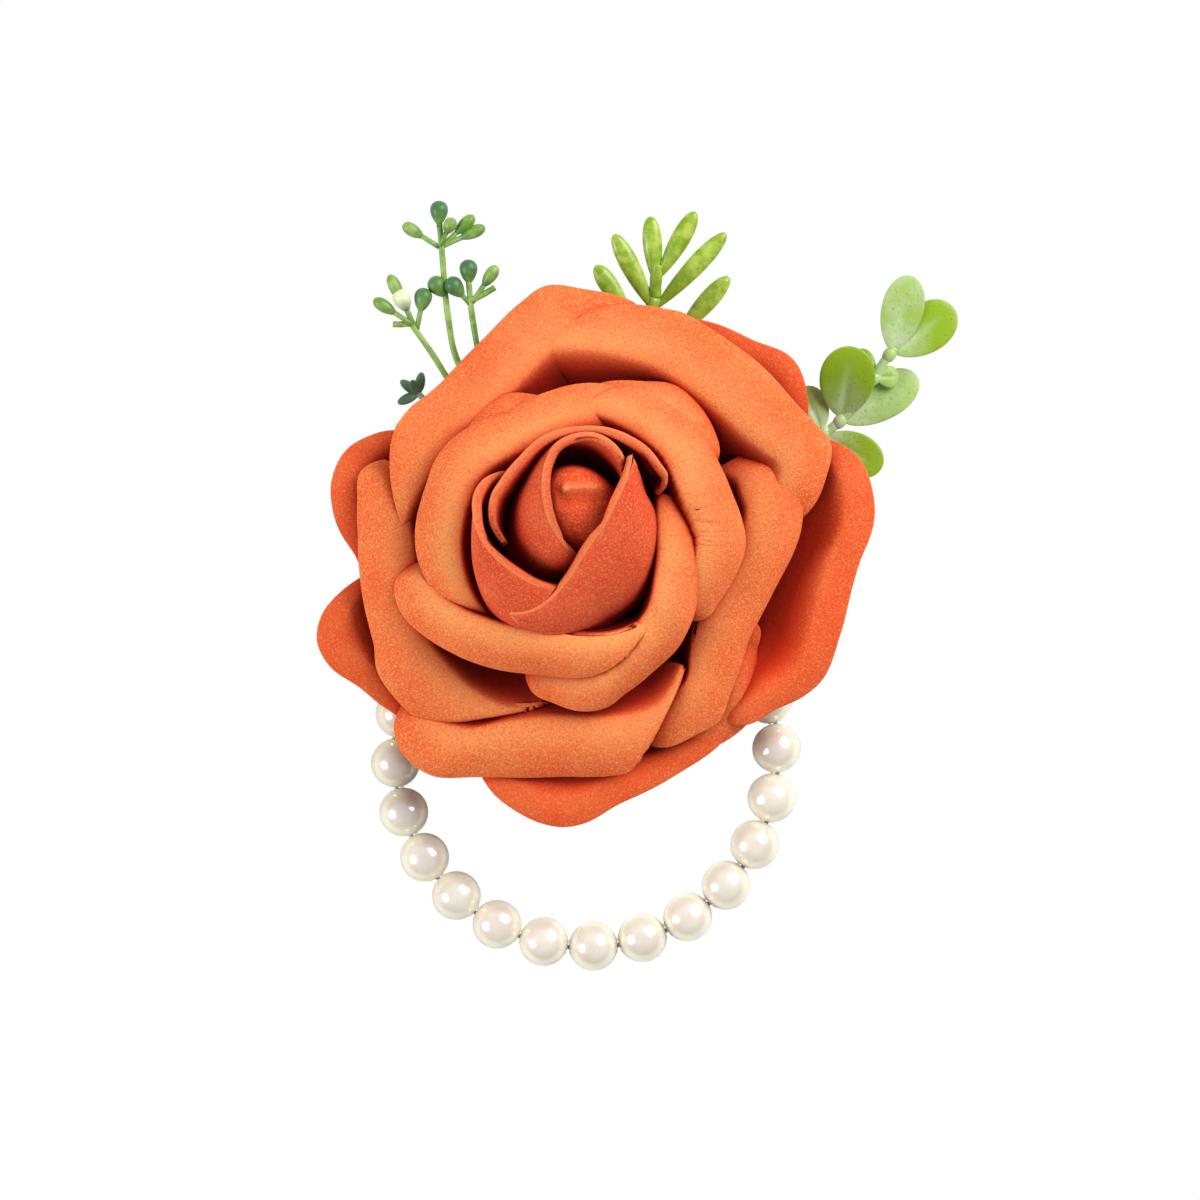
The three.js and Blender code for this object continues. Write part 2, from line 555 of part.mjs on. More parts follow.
function sepal(turn) {
  const outline = new THREE.Shape();
  const root = calyxRimRadius * sepalShares.root;
  const halfWidth = calyxRimRadius * sepalShares.halfWidth;
  const widest = calyxRimRadius + sepalLength * sepalShares.widest;
  outline.moveTo(root, -halfWidth);
  outline.quadraticCurveTo(widest, -halfWidth, calyxRimRadius + sepalLength, 0);
  outline.quadraticCurveTo(widest, halfWidth, root, halfWidth);
  outline.closePath();
  const geometry = new THREE.ExtrudeGeometry(outline,
    { depth: sepalThickness, bevelEnabled: false, curveSegments: 5 });
  geometry.rotateZ(turn);
  geometry.translate(0, 0, calyxBottom + calyxHeight - sepalThickness);
  return geometry;
}
const calyxParts = [turned(calyxProfile, 20)];
for (let count = 0; count < sepals; count += 1) calyxParts.push(sepal((count / sepals) * 2 * Math.PI));
const calyx = geometryOf(joined(calyxParts));
calyx.translate(roseFootX, roseFootY, 0);
addPiece('calyx', calyx, colours.calyx, 0.6);

// Bracelet: elastic cord held in the glue, its free loop, and the pearls threaded on the loop
const ringMiddle = new THREE.Vector3(0, -chordBelowRing, cordHeight);
const cordExit = backRadius + restingGap;
const pearlAngle = (place) => (
  THREE.MathUtils.degToRad(90 + braceletTurnDegrees + (360 * place) / pearlCount)
);
const pearlPlace = (place) => new THREE.Vector3(
  ringMiddle.x + braceletRadius * Math.cos(pearlAngle(place)),
  ringMiddle.y + braceletRadius * Math.sin(pearlAngle(place)),
  ringMiddle.z,
);

const heldCord = new THREE.CylinderGeometry(elasticDiameter / 2, elasticDiameter / 2, 2 * cordExit, 8);
heldCord.rotateZ(Math.PI / 2);
heldCord.translate(0, 0, cordHeight);
addPiece('elastic_in_glue', heldCord, colours.elastic, 0.5);

const firstPlace = (hiddenPearlCount + 1) / 2;
const lastPlace = pearlCount - firstPlace;
const loopStart = cordExit + restingGap;
const loopPoints = [new THREE.Vector3(-loopStart, 0, cordHeight)];
for (let place = firstPlace; place <= lastPlace; place += 1) loopPoints.push(pearlPlace(place));
loopPoints.push(new THREE.Vector3(loopStart, 0, cordHeight));
const loop = new THREE.CatmullRomCurve3(loopPoints);
addPiece('elastic_loop', tubeAlong(loop, elasticDiameter, 6, 50), colours.elastic, 0.5);

function pearlGeometry() {
  const profile = [];
  const radius = pearlDiameter / 2;
  const start = Math.asin(pearlBoreDiameter / pearlDiameter);
  const steps = 6;
  for (let step = 0; step <= steps; step += 1) {
    const angle = start + ((Math.PI - 2 * start) * step) / steps;
    profile.push(new THREE.Vector2(radius * Math.sin(angle), -radius * Math.cos(angle)));
  }
  profile.push(profile[0].clone());
  return new THREE.LatheGeometry(profile, 10);
}

for (let place = firstPlace; place <= lastPlace; place += 1) {
  const number = String(place - firstPlace + 1).padStart(2, '0');
  const pearl = addPiece(`pearl_${number}`, pearlGeometry(), colours.pearl, 0.25);
  pearl.position.copy(pearlPlace(place));
  pearl.rotation.z = pearlAngle(place);
}

// Sprigs lie on the base felt with their cut ends against the calyx, and pass under the back petals.
// A sprig place is written as shares of the reach: to the right, upwards in the picture, and away
// from the felt.
const stemHeight = baseFeltTop + restingGap + fingerStemDiameter / 2;
const sprigPoint = ([rightShare, upShare, liftShare]) => new THREE.Vector3(
  sprigReach * rightShare,
  sprigReach * upShare,
  stemHeight + sprigReach * liftShare,
);

function stem(shares, diameter, sides, steps) {
  const curve = new THREE.CatmullRomCurve3(shares.map(sprigPoint));
  return tubeAlong(curve, diameter, sides, steps);
}

// An egg-shaped leaf or bud from its foot to its tip, widest at the fuller share of its length
function eggBetween(foot, tip, width, thickness, fullerShare, rings, sides) {
  const length = foot.distanceTo(tip);
  const geometry = new THREE.SphereGeometry(0.5, sides, rings);
  const position = geometry.attributes.position;
  for (let i = 0; i < position.count; i += 1) {
    const share = position.getY(i) + 0.5;
    const moved = share ** (Math.log(fullerShare) / Math.log(0.5));
    position.setXYZ(i, position.getX(i) * width, moved * length, position.getZ(i) * thickness);
  }
  const way = tip.clone().sub(foot).normalize();
  const side = new THREE.Vector3(0, 0, 1).cross(way).normalize().negate();
  const facing = side.clone().cross(way);
  geometry.applyMatrix4(new THREE.Matrix4().makeBasis(side, way, facing).setPosition(foot));
  return geometry;
}

const fullerShares = { bud: 0.6, berry: 0.64, leaf: 0.6, finger: 0.65, tuft: 0.5 };
// How much of a bud's length is its bare stalk, and how far a berry reaches down its stalk
const budStalkShare = 0.42;
const berryTailShare = 0.9;
const bud = ([foot, tip]) => eggBetween(
  sprigPoint(foot).lerp(sprigPoint(tip), budStalkShare), sprigPoint(tip), budWidth, budWidth,
  fullerShares.bud, 5, 6,
);
const leaf = (foot, tip, width, thickness, fullerShare) => eggBetween(
  sprigPoint(foot), sprigPoint(tip), width, thickness, fullerShare, 6, 8,
);

function ball(shares, diameter) {
  const geometry = new THREE.SphereGeometry(diameter / 2, 7, 5);
  const middle = sprigPoint(shares);
  geometry.translate(middle.x, middle.y, middle.z);
  return geometry;
}

// Berry sprig: one moulded piece, three stems from a fork, each with a cluster of buds
const berryForkShares = [-0.19, 0.34, 0];
const berryStemShares = [
  [[-0.08, 0.187, 0], [-0.125, 0.25, 0], berryForkShares],
  [berryForkShares, [-0.33, 0.55, 0.01], [-0.366, 0.69, 0.025], [-0.382, 0.86, 0.035], [-0.39, 0.955, 0.04]],
  [berryForkShares, [-0.27, 0.54, 0.01], [-0.3, 0.68, 0.03], [-0.312, 0.79, 0.04]],
  [berryForkShares, [-0.34, 0.493, 0.01], [-0.406, 0.59, 0.025], [-0.462, 0.67, 0.04]],
];
// Each ball hangs on a short stalk: where the stalk leaves its stem, and the ball's middle
const berryBallShares = [
  [[-0.39, 0.93, 0.04], [-0.39, 0.976, 0.042]],
  [[-0.31, 0.77, 0.038], [-0.312, 0.82, 0.042]],
  [[-0.303, 0.72, 0.033], [-0.352, 0.775, 0.045]],
  [[-0.375, 0.75, 0.03], [-0.397, 0.777, 0.03]],
  [[-0.45, 0.655, 0.036], [-0.49, 0.742, 0.05]],
  [[-0.45, 0.655, 0.036], [-0.432, 0.745, 0.035]],
];
const berryBudShares = [
  [[-0.39, 0.877, 0.035], [-0.486, 0.937, 0.05]],
  [[-0.386, 0.875, 0.035], [-0.297, 0.96, 0.045]],
  [[-0.386, 0.877, 0.035], [-0.268, 0.931, 0.035]],
  [[-0.388, 0.88, 0.04], [-0.352, 0.953, 0.065]],
  [[-0.302, 0.73, 0.035], [-0.236, 0.827, 0.05]],
  [[-0.458, 0.67, 0.04], [-0.564, 0.738, 0.05]],
  [[-0.46, 0.675, 0.04], [-0.522, 0.803, 0.05]],
];
// Bare stalks, with nothing at their ends
const berryStubShares = [
  [[-0.303, 0.735, 0.035], [-0.242, 0.77, 0.03]],
  [[-0.46, 0.675, 0.035], [-0.512, 0.672, 0.03]],
];
const berryParts = berryStemShares.map((route) => stem(route, berryStemDiameter, 6, 4));
for (const [foot, middle] of berryBallShares) {
  const stalk = new THREE.LineCurve3(sprigPoint(foot), sprigPoint(middle));
  berryParts.push(tubeAlong(stalk, berryStalkDiameter, 6, 1));
  const rise = stalk.v2.clone().sub(stalk.v1).setLength(berryDiameter);
  berryParts.push(eggBetween(
    stalk.v2.clone().addScaledVector(rise, -berryTailShare), stalk.v2.clone().addScaledVector(rise, 0.5),
    berryDiameter, berryDiameter, fullerShares.berry, 5, 7,
  ));
}
for (const [foot, tip] of berryBudShares) {
  const stalk = new THREE.LineCurve3(sprigPoint(foot), sprigPoint(foot).lerp(sprigPoint(tip), 0.7));
  berryParts.push(tubeAlong(stalk, berryStalkDiameter, 6, 1));
  berryParts.push(bud([foot, tip]));
}
for (const [foot, end] of berryStubShares) {
  const stub = new THREE.LineCurve3(sprigPoint(foot), sprigPoint(end));
  berryParts.push(tubeAlong(stub, berryStemDiameter, 6, 1));
}
addPiece('berry_sprig', geometryOf(joined(berryParts)), colours.berry, 0.5);

// Leaf tuft: a short stem with a rosette of dark pointed leaves
const tuftTopShares = [-0.446, 0.488, 0.02];
const tuftLeafShares = [
  [-0.434, 0.553, 0.04], [-0.492, 0.522, 0.035], [-0.466, 0.53, 0.075], [-0.514, 0.456, 0.025],
];
const tuftParts = [stem([[-0.11, 0.162, 0], [-0.25, 0.3, 0], tuftTopShares], tuftStemDiameter, 6, 6)];
for (const tip of tuftLeafShares) {
  const foot = sprigPoint(tuftTopShares);
  const way = sprigPoint(tip).sub(foot).setLength(tuftLeafLength);
  const leafTip = foot.clone().add(way);
  tuftParts.push(eggBetween(foot, leafTip, tuftLeafWidth, tuftLeafWidth / 2, fullerShares.tuft, 4, 6));
}
addPiece('leaf_tuft', geometryOf(joined(tuftParts)), colours.tuft, 0.6);

// Finger sprig: one glossy moulded piece, a stem forked into finger-shaped leaves
const fingerForkShares = [0.183, 0.745, 0.02];
const fingerLeafShares = [
  [[0.12, 0.69, 0.012], [0.026, 0.828, 0.035]],
  [[0.184, 0.7, 0.016], [0.074, 0.911, 0.05]],
  [[0.186, 0.77, 0.026], [0.171, 0.958, 0.04]],
  [[0.187, 0.785, 0.029], [0.291, 0.97, 0.055]],
  [[0.174, 0.703, 0.017], [0.372, 0.914, 0.04]],
  [[0.232, 0.632, 0.008], [0.38, 0.798, 0.03]],
];
const fingerStemShares = [
  [[0.074, 0.213, 0], [0.1, 0.4, 0], [0.15, 0.62, 0], fingerForkShares],
  [[0.14, 0.58, 0], [0.126, 0.65, 0.005], [0.116, 0.7, 0.011]],
  [[0.135, 0.56, 0], [0.19, 0.6, 0], [0.243, 0.645, 0.008]],
  [fingerForkShares, [0.186, 0.79, 0.028], [0.191, 0.83, 0.033]],
];
const fingerParts = fingerStemShares.map((route) => stem(route, fingerStemDiameter, 6, 5));
for (const [foot, tip] of fingerLeafShares) {
  fingerParts.push(leaf(foot, tip, fingerWidth, fingerThickness, fullerShares.finger));
}
addPiece('finger_sprig', geometryOf(joined(fingerParts)), colours.finger, 0.3);

// Jade sprig: a stem with pairs of fleshy leaves, each pair moulded on a collar that is threaded on it
const jadeRouteShares = [
  [0.182, 0.114, 0], [0.35, 0.2, 0], [0.56, 0.33, 0.005], [0.675, 0.415, 0.015], [0.735, 0.485, 0.03],
  [0.79, 0.57, 0.045], [0.82, 0.61, 0.05],
];
const jadeStem = stem(jadeRouteShares, jadeStemDiameter, 8, 14);
addPiece('jade_stem', jadeStem, colours.jade, 0.7);
// Each leaf: its foot, its tip and its share of the leaf width
const jadePairShares = {
  jade_leaves_top: { collar: [0.806, 0.591, 0.0475], leaves: [
    [[0.812, 0.6, 0.05], [0.862, 0.8, 0.08], 0.95],
    [[0.818, 0.595, 0.05], [0.976, 0.716, 0.06], 1.1],
  ] },
  jade_leaves_upper: { collar: [0.764, 0.528, 0.0375], leaves: [
    [[0.764, 0.535, 0.036], [0.722, 0.605, 0.015], 0.45],
    [[0.77, 0.53, 0.038], [0.83, 0.535, 0.02], 0.5],
  ] },
  jade_leaves_middle: { collar: [0.675, 0.415, 0.015], leaves: [
    [[0.678, 0.424, 0.02], [0.706, 0.612, 0.1], 1.25],
    [[0.686, 0.412, 0.012], [0.88, 0.535, 0.0], 1],
  ] },
  jade_leaves_lower: { collar: [0.63, 0.383, 0.0105], leaves: [
    [[0.628, 0.392, 0.01], [0.572, 0.505, 0.015], 0.8],
    [[0.638, 0.375, 0.01], [0.785, 0.288, 0.015], 0.95],
  ] },
};
const jadeStemRoom = solidOf(stem(jadeRouteShares, jadeStemDiameter + 2 * restingGap, 8, 14));
for (const [name, pair] of Object.entries(jadePairShares)) {
  const parts = [ball(pair.collar, jadeCollarDiameter)];
  for (const [foot, tip, widthShare] of pair.leaves) {
    parts.push(leaf(foot, tip, jadeLeafWidth * widthShare, jadeLeafThickness, fullerShares.leaf));
  }
  addPiece(name, geometryOf(largestBody(joined(parts).subtract(jadeStemRoom))), colours.jade, 0.75);
}

export default corsage;
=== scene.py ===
import math

import bpy
import numpy as np
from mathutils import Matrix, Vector, noise


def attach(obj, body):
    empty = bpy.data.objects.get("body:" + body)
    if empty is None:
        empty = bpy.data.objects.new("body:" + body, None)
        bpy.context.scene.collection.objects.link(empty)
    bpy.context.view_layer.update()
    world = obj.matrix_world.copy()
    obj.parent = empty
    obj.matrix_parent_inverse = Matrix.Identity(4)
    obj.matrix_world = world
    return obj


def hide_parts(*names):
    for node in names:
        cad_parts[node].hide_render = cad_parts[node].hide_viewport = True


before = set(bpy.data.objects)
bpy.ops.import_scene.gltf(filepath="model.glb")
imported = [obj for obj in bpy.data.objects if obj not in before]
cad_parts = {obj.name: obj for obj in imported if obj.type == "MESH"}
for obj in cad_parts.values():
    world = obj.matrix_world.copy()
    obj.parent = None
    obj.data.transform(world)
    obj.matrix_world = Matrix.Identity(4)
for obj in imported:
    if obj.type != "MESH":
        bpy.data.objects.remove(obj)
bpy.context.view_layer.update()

# Sizes are in millimetres, but in metres for the camera, the light, the floor and the materials
MM = 0.001


def add_object(name, data):
    made = bpy.data.objects.new(name, data)
    bpy.context.scene.collection.objects.link(made)
    return made


# Camera: straight above the rose, from far away

camera_data = bpy.data.cameras.new("camera")
camera_data.type = "PERSP"
camera_data.lens = 469
camera_data.clip_end = 10
camera = add_object("camera", camera_data)
camera.location = (0.00224, -0.00362, 2.504)
bpy.context.scene.camera = camera
bpy.context.scene.view_settings.view_transform = "Standard"


# Materials

# The sockets that a Mix node has for colours
MIX_FACTOR, MIX_LOW, MIX_HIGH, MIX_RESULT = 0, 6, 7, 2


def linear(red, green, blue):
    """The linear colour for an sRGB one of 0 to 255."""
    def one(value):
        value /= 255
        return value / 12.92 if value <= 0.04045 else ((value + 0.055) / 1.055) ** 2.4
    return (one(red), one(green), one(blue), 1)


def fill(node, **values):
    for key, value in values.items():
        node.inputs[key.replace("_", " ")].default_value = value


class Shader:
    """A material. Its colours are given in sRGB, 0 to 255."""

    def __init__(self, name, color, roughness):
        self.material = bpy.data.materials.new(name)
        self.material.use_nodes = True
        self.tree = self.material.node_tree
        self.surface = self.tree.nodes["Principled BSDF"]
        self.set(Base_Color=linear(*color), Roughness=roughness)
        self.place = self.node("ShaderNodeTexCoord").outputs["Object"]

    def node(self, kind, **values):
        made = self.tree.nodes.new(kind)
        for key, value in values.items():
            setattr(made, key, value)
        return made

    def link(self, source, target):
        self.tree.links.new(source, target)

    def set(self, **values):
        fill(self.surface, **values)

    def grain(self, scale, detail=2, rough=0.6):
        made = self.node("ShaderNodeTexNoise")
        fill(made, Scale=scale, Detail=detail, Roughness=rough)
        self.link(self.place, made.inputs["Vector"])
        return made.outputs["Fac"]

    def spread(self, source, between=(0, 1), to=(0, 1)):
        """The source's values from between[0] to between[1], spread over to[0] to to[1]."""
        made = self.node("ShaderNodeMapRange")
        fill(made, From_Min=between[0], From_Max=between[1], To_Min=to[0], To_Max=to[1])
        self.link(source, made.inputs["Value"])
        return made.outputs["Result"]

    def openness(self, distance):
        """How open a place is: 0 where what stands round it shuts it in, 1 in the open."""
        made = self.node("ShaderNodeAmbientOcclusion", samples=6)
        fill(made, Distance=distance)
        return made.outputs["AO"]

    def layer(self, attribute):
        return self.node("ShaderNodeAttribute", attribute_name=attribute).outputs["Fac"]

    def mix(self, factor, low, high):
        made = self.node("ShaderNodeMix", data_type="RGBA")
        for index, value in ((MIX_FACTOR, factor), (MIX_LOW, low), (MIX_HIGH, high)):
            if hasattr(value, "is_linked"):
                self.link(value, made.inputs[index])
            else:
                made.inputs[index].default_value = linear(*value)
        return made.outputs[MIX_RESULT]

    def color(self, source):
        self.link(source, self.surface.inputs["Base Color"])

    def bump(self, height, distance, strength=1):
        made = self.node("ShaderNodeBump")
        fill(made, Distance=distance, Strength=strength)
        self.link(height, made.inputs["Height"])
        if self.surface.inputs["Normal"].is_linked:
            self.link(self.surface.inputs["Normal"].links[0].from_socket, made.inputs["Normal"])
        self.link(made.outputs["Normal"], self.surface.inputs["Normal"])


def foam(name, body, pale_and_highlight, mid_shade, dark_speck_and_shade, near, open_share, pale_shares=(0.18, 0.34)):
    """Foam sheet, mottled and speckled with its pale colour, pale_and_highlight, which is also painted as a
    highlight along its crests and makes its cut edges paler. Painted shade takes it over mid_shade to
    dark_speck_and_shade, also the colour of its dark specks, towards its root, and where it is shut in by
    what is near, once it is less open than open_share."""
    # Openness thresholds for the painted shade where the foam is shut in
    mid_shade_fade, deep_shade_start, deep_shade_end = 0.3, 0.2, 0.35
    shader = Shader(name, body, roughness=0.85)
    shader.set(Specular_IOR_Level=0.12)
    mottling = shader.spread(shader.grain(scale=130, detail=3), between=(0.35, 0.65), to=pale_shares)
    mottled = shader.mix(mottling, body, pale_and_highlight)
    # Painted highlight: the crest layer takes the foam to its pale colour along its crests, and makes its cut
    # edges paler
    crest_highlighted = shader.mix(shader.spread(shader.layer("crest"), to=(0, 0.8)), mottled, pale_and_highlight)
    pale_specks = shader.spread(shader.grain(scale=3300, rough=0.7), between=(0.5, 0.66), to=(0, 0.7))
    speckled = shader.mix(pale_specks, crest_highlighted, pale_and_highlight)
    dark_specks = shader.spread(shader.grain(scale=3000, rough=0.7), between=(0.5, 0.35), to=(0, 0.26))
    speckled = shader.mix(dark_specks, speckled, dark_speck_and_shade)
    # Painted shade: darker towards the root of a petal, over mid_shade to dark_speck_and_shade
    root = shader.layer("root")
    root_shaded = shader.mix(shader.spread(root, between=(0, 0.5)), speckled, mid_shade)
    root_shaded = shader.mix(shader.spread(root, between=(0.3, 1)), root_shaded, dark_speck_and_shade)
    # Painted shade where nearby surfaces shut the foam in, from an ambient occlusion node: over mid_shade,
    # then to dark_speck_and_shade
    openness = shader.openness(near)
    shaded = shader.mix(shader.spread(openness, between=(open_share, open_share - mid_shade_fade)), root_shaded, mid_shade)
    shut_in_shade = shader.spread(openness, between=(open_share - deep_shade_start, deep_shade_end))
    shader.color(shader.mix(shut_in_shade, shaded, dark_speck_and_shade))
    shader.bump(shader.grain(scale=2600, rough=0.7), distance=0.00012, strength=0.7)
    shader.bump(shader.grain(scale=420, detail=3), distance=0.0003, strength=0.35)
    return shader.material


# bud_foam is a darker, redder copy of petal_foam for the inner petals: painted shade, as they stand shut in
# at the heart of the rose
FOAMS = {
    "petal_foam": foam(
        "petal_foam", body=(232, 66, 16), pale_and_highlight=(255, 176, 106), mid_shade=(216, 50, 18),
        dark_speck_and_shade=(112, 6, 6), near=0.016, open_share=0.88),
    "bud_foam": foam(
        "bud_foam", body=(216, 44, 18), pale_and_highlight=(255, 152, 96), mid_shade=(190, 30, 16),
        dark_speck_and_shade=(104, 4, 6), near=0.008, open_share=0.74),
}
core_foam = foam(
    "core_foam", body=(228, 58, 20), pale_and_highlight=(255, 150, 92), mid_shade=(190, 28, 14),
    dark_speck_and_shade=(110, 4, 6), near=0.005, open_share=0.68, pale_shares=(0.08, 0.18))

pearl_shader = Shader("pearl_nacre", (246, 240, 220), roughness=0.32)
pearl_shader.set(
    Coat_Weight=1, Coat_Roughness=0.2, Coat_IOR=2.4, IOR=1.7, Thin_Film_Thickness=330, Thin_Film_IOR=1.25,
    Sheen_Weight=0.5, Sheen_Tint=linear(232, 240, 200), Subsurface_Weight=0.15, Subsurface_Scale=0.002,
    Specular_IOR_Level=0.8)
clouds = pearl_shader.spread(pearl_shader.grain(scale=160), between=(0.4, 0.6))
pearl_shader.color(pearl_shader.mix(clouds, (246, 242, 222), (238, 229, 214)))
pearl_shader.bump(pearl_shader.grain(scale=900), distance=0.00004, strength=0.3)
pearl_nacre = pearl_shader.material

elastic_shader = Shader("clear_elastic", (250, 250, 244), roughness=0.35)
elastic_shader.set(Subsurface_Weight=1, Subsurface_Scale=0.003)
elastic_shader.bump(elastic_shader.grain(scale=3000), distance=0.00003)
clear_elastic = elastic_shader.material

felt_shader = Shader("cream_felt", (232, 226, 214), roughness=0.95)
fibres = felt_shader.grain(scale=1500, detail=4, rough=0.7)
felt_shader.color(felt_shader.mix(fibres, (220, 212, 198), (242, 238, 228)))
felt_shader.bump(felt_shader.grain(scale=2200, detail=5, rough=0.8), distance=0.0004)
cream_felt = felt_shader.material

glue_shader = Shader("milky_glue", (230, 221, 198), roughness=0.3)
glue_shader.set(Subsurface_Weight=0.4, Subsurface_Scale=0.002)
glue_shader.bump(glue_shader.grain(scale=180), distance=0.0006, strength=0.5)
milky_glue = glue_shader.material


def plant(name, low, high, tip, roughness, grain_scale, grain_depth, patch_scale=260, pale=None, specks=None):
    """Plastic greenery, mottled from low to high. It turns to the tip colour as its layer goes from 0 to 1,
    and to pale from 1 to 2. Specks are spots in a colour of their own."""
    shader = Shader(name, low, roughness)
    patches = shader.spread(shader.grain(patch_scale, detail=3), between=(0.38, 0.62))
    grown = shader.mix(shader.spread(shader.layer("tip")), shader.mix(patches, low, high), tip)
    if specks:
        spots = shader.spread(shader.grain(scale=2300), between=(0.4, 0.28), to=(0, 0.6))
        grown = shader.mix(spots, grown, specks)
    if pale:
        grown = shader.mix(shader.spread(shader.layer("tip"), between=(1, 2)), grown, pale)
    shader.color(grown)
    shader.bump(shader.grain(grain_scale, detail=3), grain_depth, strength=0.6)
    return shader.material


berry_green = plant(
    "berry_green", low=(104, 148, 54), high=(150, 184, 92), tip=(70, 116, 66),
    roughness=0.42, grain_scale=900, grain_depth=0.0001, patch_scale=420, pale=(226, 236, 192))
tuft_green = plant(
    "tuft_green", low=(92, 122, 84), high=(128, 154, 112), tip=(74, 106, 76),
    roughness=0.55, grain_scale=900, grain_depth=0.0001, patch_scale=420)
finger_green = plant(
    "finger_green", low=(130, 166, 34), high=(178, 202, 82), tip=(134, 168, 38),
    roughness=0.3, grain_scale=500, grain_depth=0.0002, patch_scale=500)
jade_green = plant(
    "jade_green", low=(200, 218, 176), high=(172, 204, 116), tip=(142, 176, 22),
    roughness=0.42, grain_scale=1600, grain_depth=0.00008, specks=(92, 132, 20))
calyx_green = plant(
    "calyx_green", low=(88, 132, 58), high=(108, 148, 74), tip=(88, 132, 58),
    roughness=0.5, grain_scale=700, grain_depth=0.0001)


# Meshes

# Where a form closes to a point, its last ring keeps this radius, or stays this angle short in radians
POINT_RADIUS = 0.02
POINT_ANGLE = 0.02

# A direction that no tube starts along
ODD_WAY = (0.13, 0.21, 1.0)

# Where an egg form's layer grows from its foot to its outline
LAYER_ALONG, LAYER_ACROSS, LAYER_START = 1.6, 0.4, 0.1

# The groove down the middle of a leaf: its width as a share of the leaf's, where it fades, how pale it is
GROOVE_WIDTH = 0.14
GROOVE_FADE_START, GROOVE_FADE = 2, 2.4
GROOVE_PALENESS = 0.6


def set_layer(mesh, name, values):
    attribute = mesh.attributes.new(name, "FLOAT", "POINT")
    attribute.data.foreach_set("value", np.asarray(values, np.float32).reshape(-1))


class Builder:
    """Collects points, in millimetres, with their faces and the values of one shading layer."""

    def __init__(self):
        self.points = []
        self.faces = []
        self.layers = []
        self.count = 0

    def add(self, points, faces, layer):
        points = np.asarray(points, float).reshape(-1, 3)
        self.points.append(points)
        self.faces.extend([tuple(i + self.count for i in face) for face in faces])
        self.layers.append(np.broadcast_to(np.asarray(layer, float), (len(points),)))
        self.count += len(points)

    def rings(self, rows, layer=0.0, caps=True):
        """rows is an array of closed rings; each ring joins the next."""
        count, sides = rows.shape[:2]
        faces = []
        for r in range(count - 1):
            for s in range(sides):
                t = (s + 1) % sides
                faces.append((r * sides + s, r * sides + t, (r + 1) * sides + t, (r + 1) * sides + s))
        if caps:
            faces.append(tuple(reversed(range(sides))))
            faces.append(tuple((count - 1) * sides + s for s in range(sides)))
        self.add(rows, faces, np.broadcast_to(layer, (count, sides)).reshape(-1))

    def build(self, name, material, body, node, layer_name="tip"):
        mesh = bpy.data.meshes.new(name)
        mesh.from_pydata((np.concatenate(self.points) * MM).tolist(), [], self.faces)
        mesh.validate()
        mesh.shade_smooth()
        set_layer(mesh, layer_name, np.concatenate(self.layers))
        made = add_object(name, mesh)
        mesh.materials.append(material)
        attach(made, body)
        if node:
            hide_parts(node)
        return made


def unit(vector):
    vector = np.asarray(vector, float)
    return vector / np.linalg.norm(vector)


def around(sides):
    """Angles evenly spread over a full turn."""
    return np.linspace(0, 2 * math.pi, sides, endpoint=False)


def sides_along(points):
    """Two directions across the line at each of its points, which don't twist along it."""
    ways = np.gradient(points, axis=0)
    ways /= np.linalg.norm(ways, axis=1)[:, None]
    side = unit(np.cross(ways[0], ODD_WAY))
    sides = []
    for way in ways:
        side = unit(side - way * np.dot(side, way))
        sides.append(side)
    sides = np.array(sides)
    return sides, np.cross(ways, sides)


def through(points, steps):
    """A smooth curve through the points, as Catmull-Rom does it."""
    points = np.asarray(points, float)
    padded = np.vstack([2 * points[0] - points[1], points, 2 * points[-1] - points[-2]])
    out = []
    for i in range(len(points) - 1):
        a, b, c, d = padded[i:i + 4]
        for t in np.linspace(0, 1, steps, endpoint=False):
            out.append(0.5 * (2 * b + (c - a) * t + (2 * a - 5 * b + 4 * c - d) * t * t
                              + (3 * b - a - 3 * c + d) * t ** 3))
    out.append(points[-1])
    return np.array(out)


def add_tube(builder, points, radii, sides=12, layer=0.0):
    points = np.asarray(points, float)
    one, two = sides_along(points)
    radii = np.broadcast_to(np.asarray(radii, float), (len(points),))
    turn = around(sides)
    ring = one[:, None] * np.cos(turn)[None, :, None] + two[:, None] * np.sin(turn)[None, :, None]
    builder.rings(points[:, None] + ring * radii[:, None, None], layer)


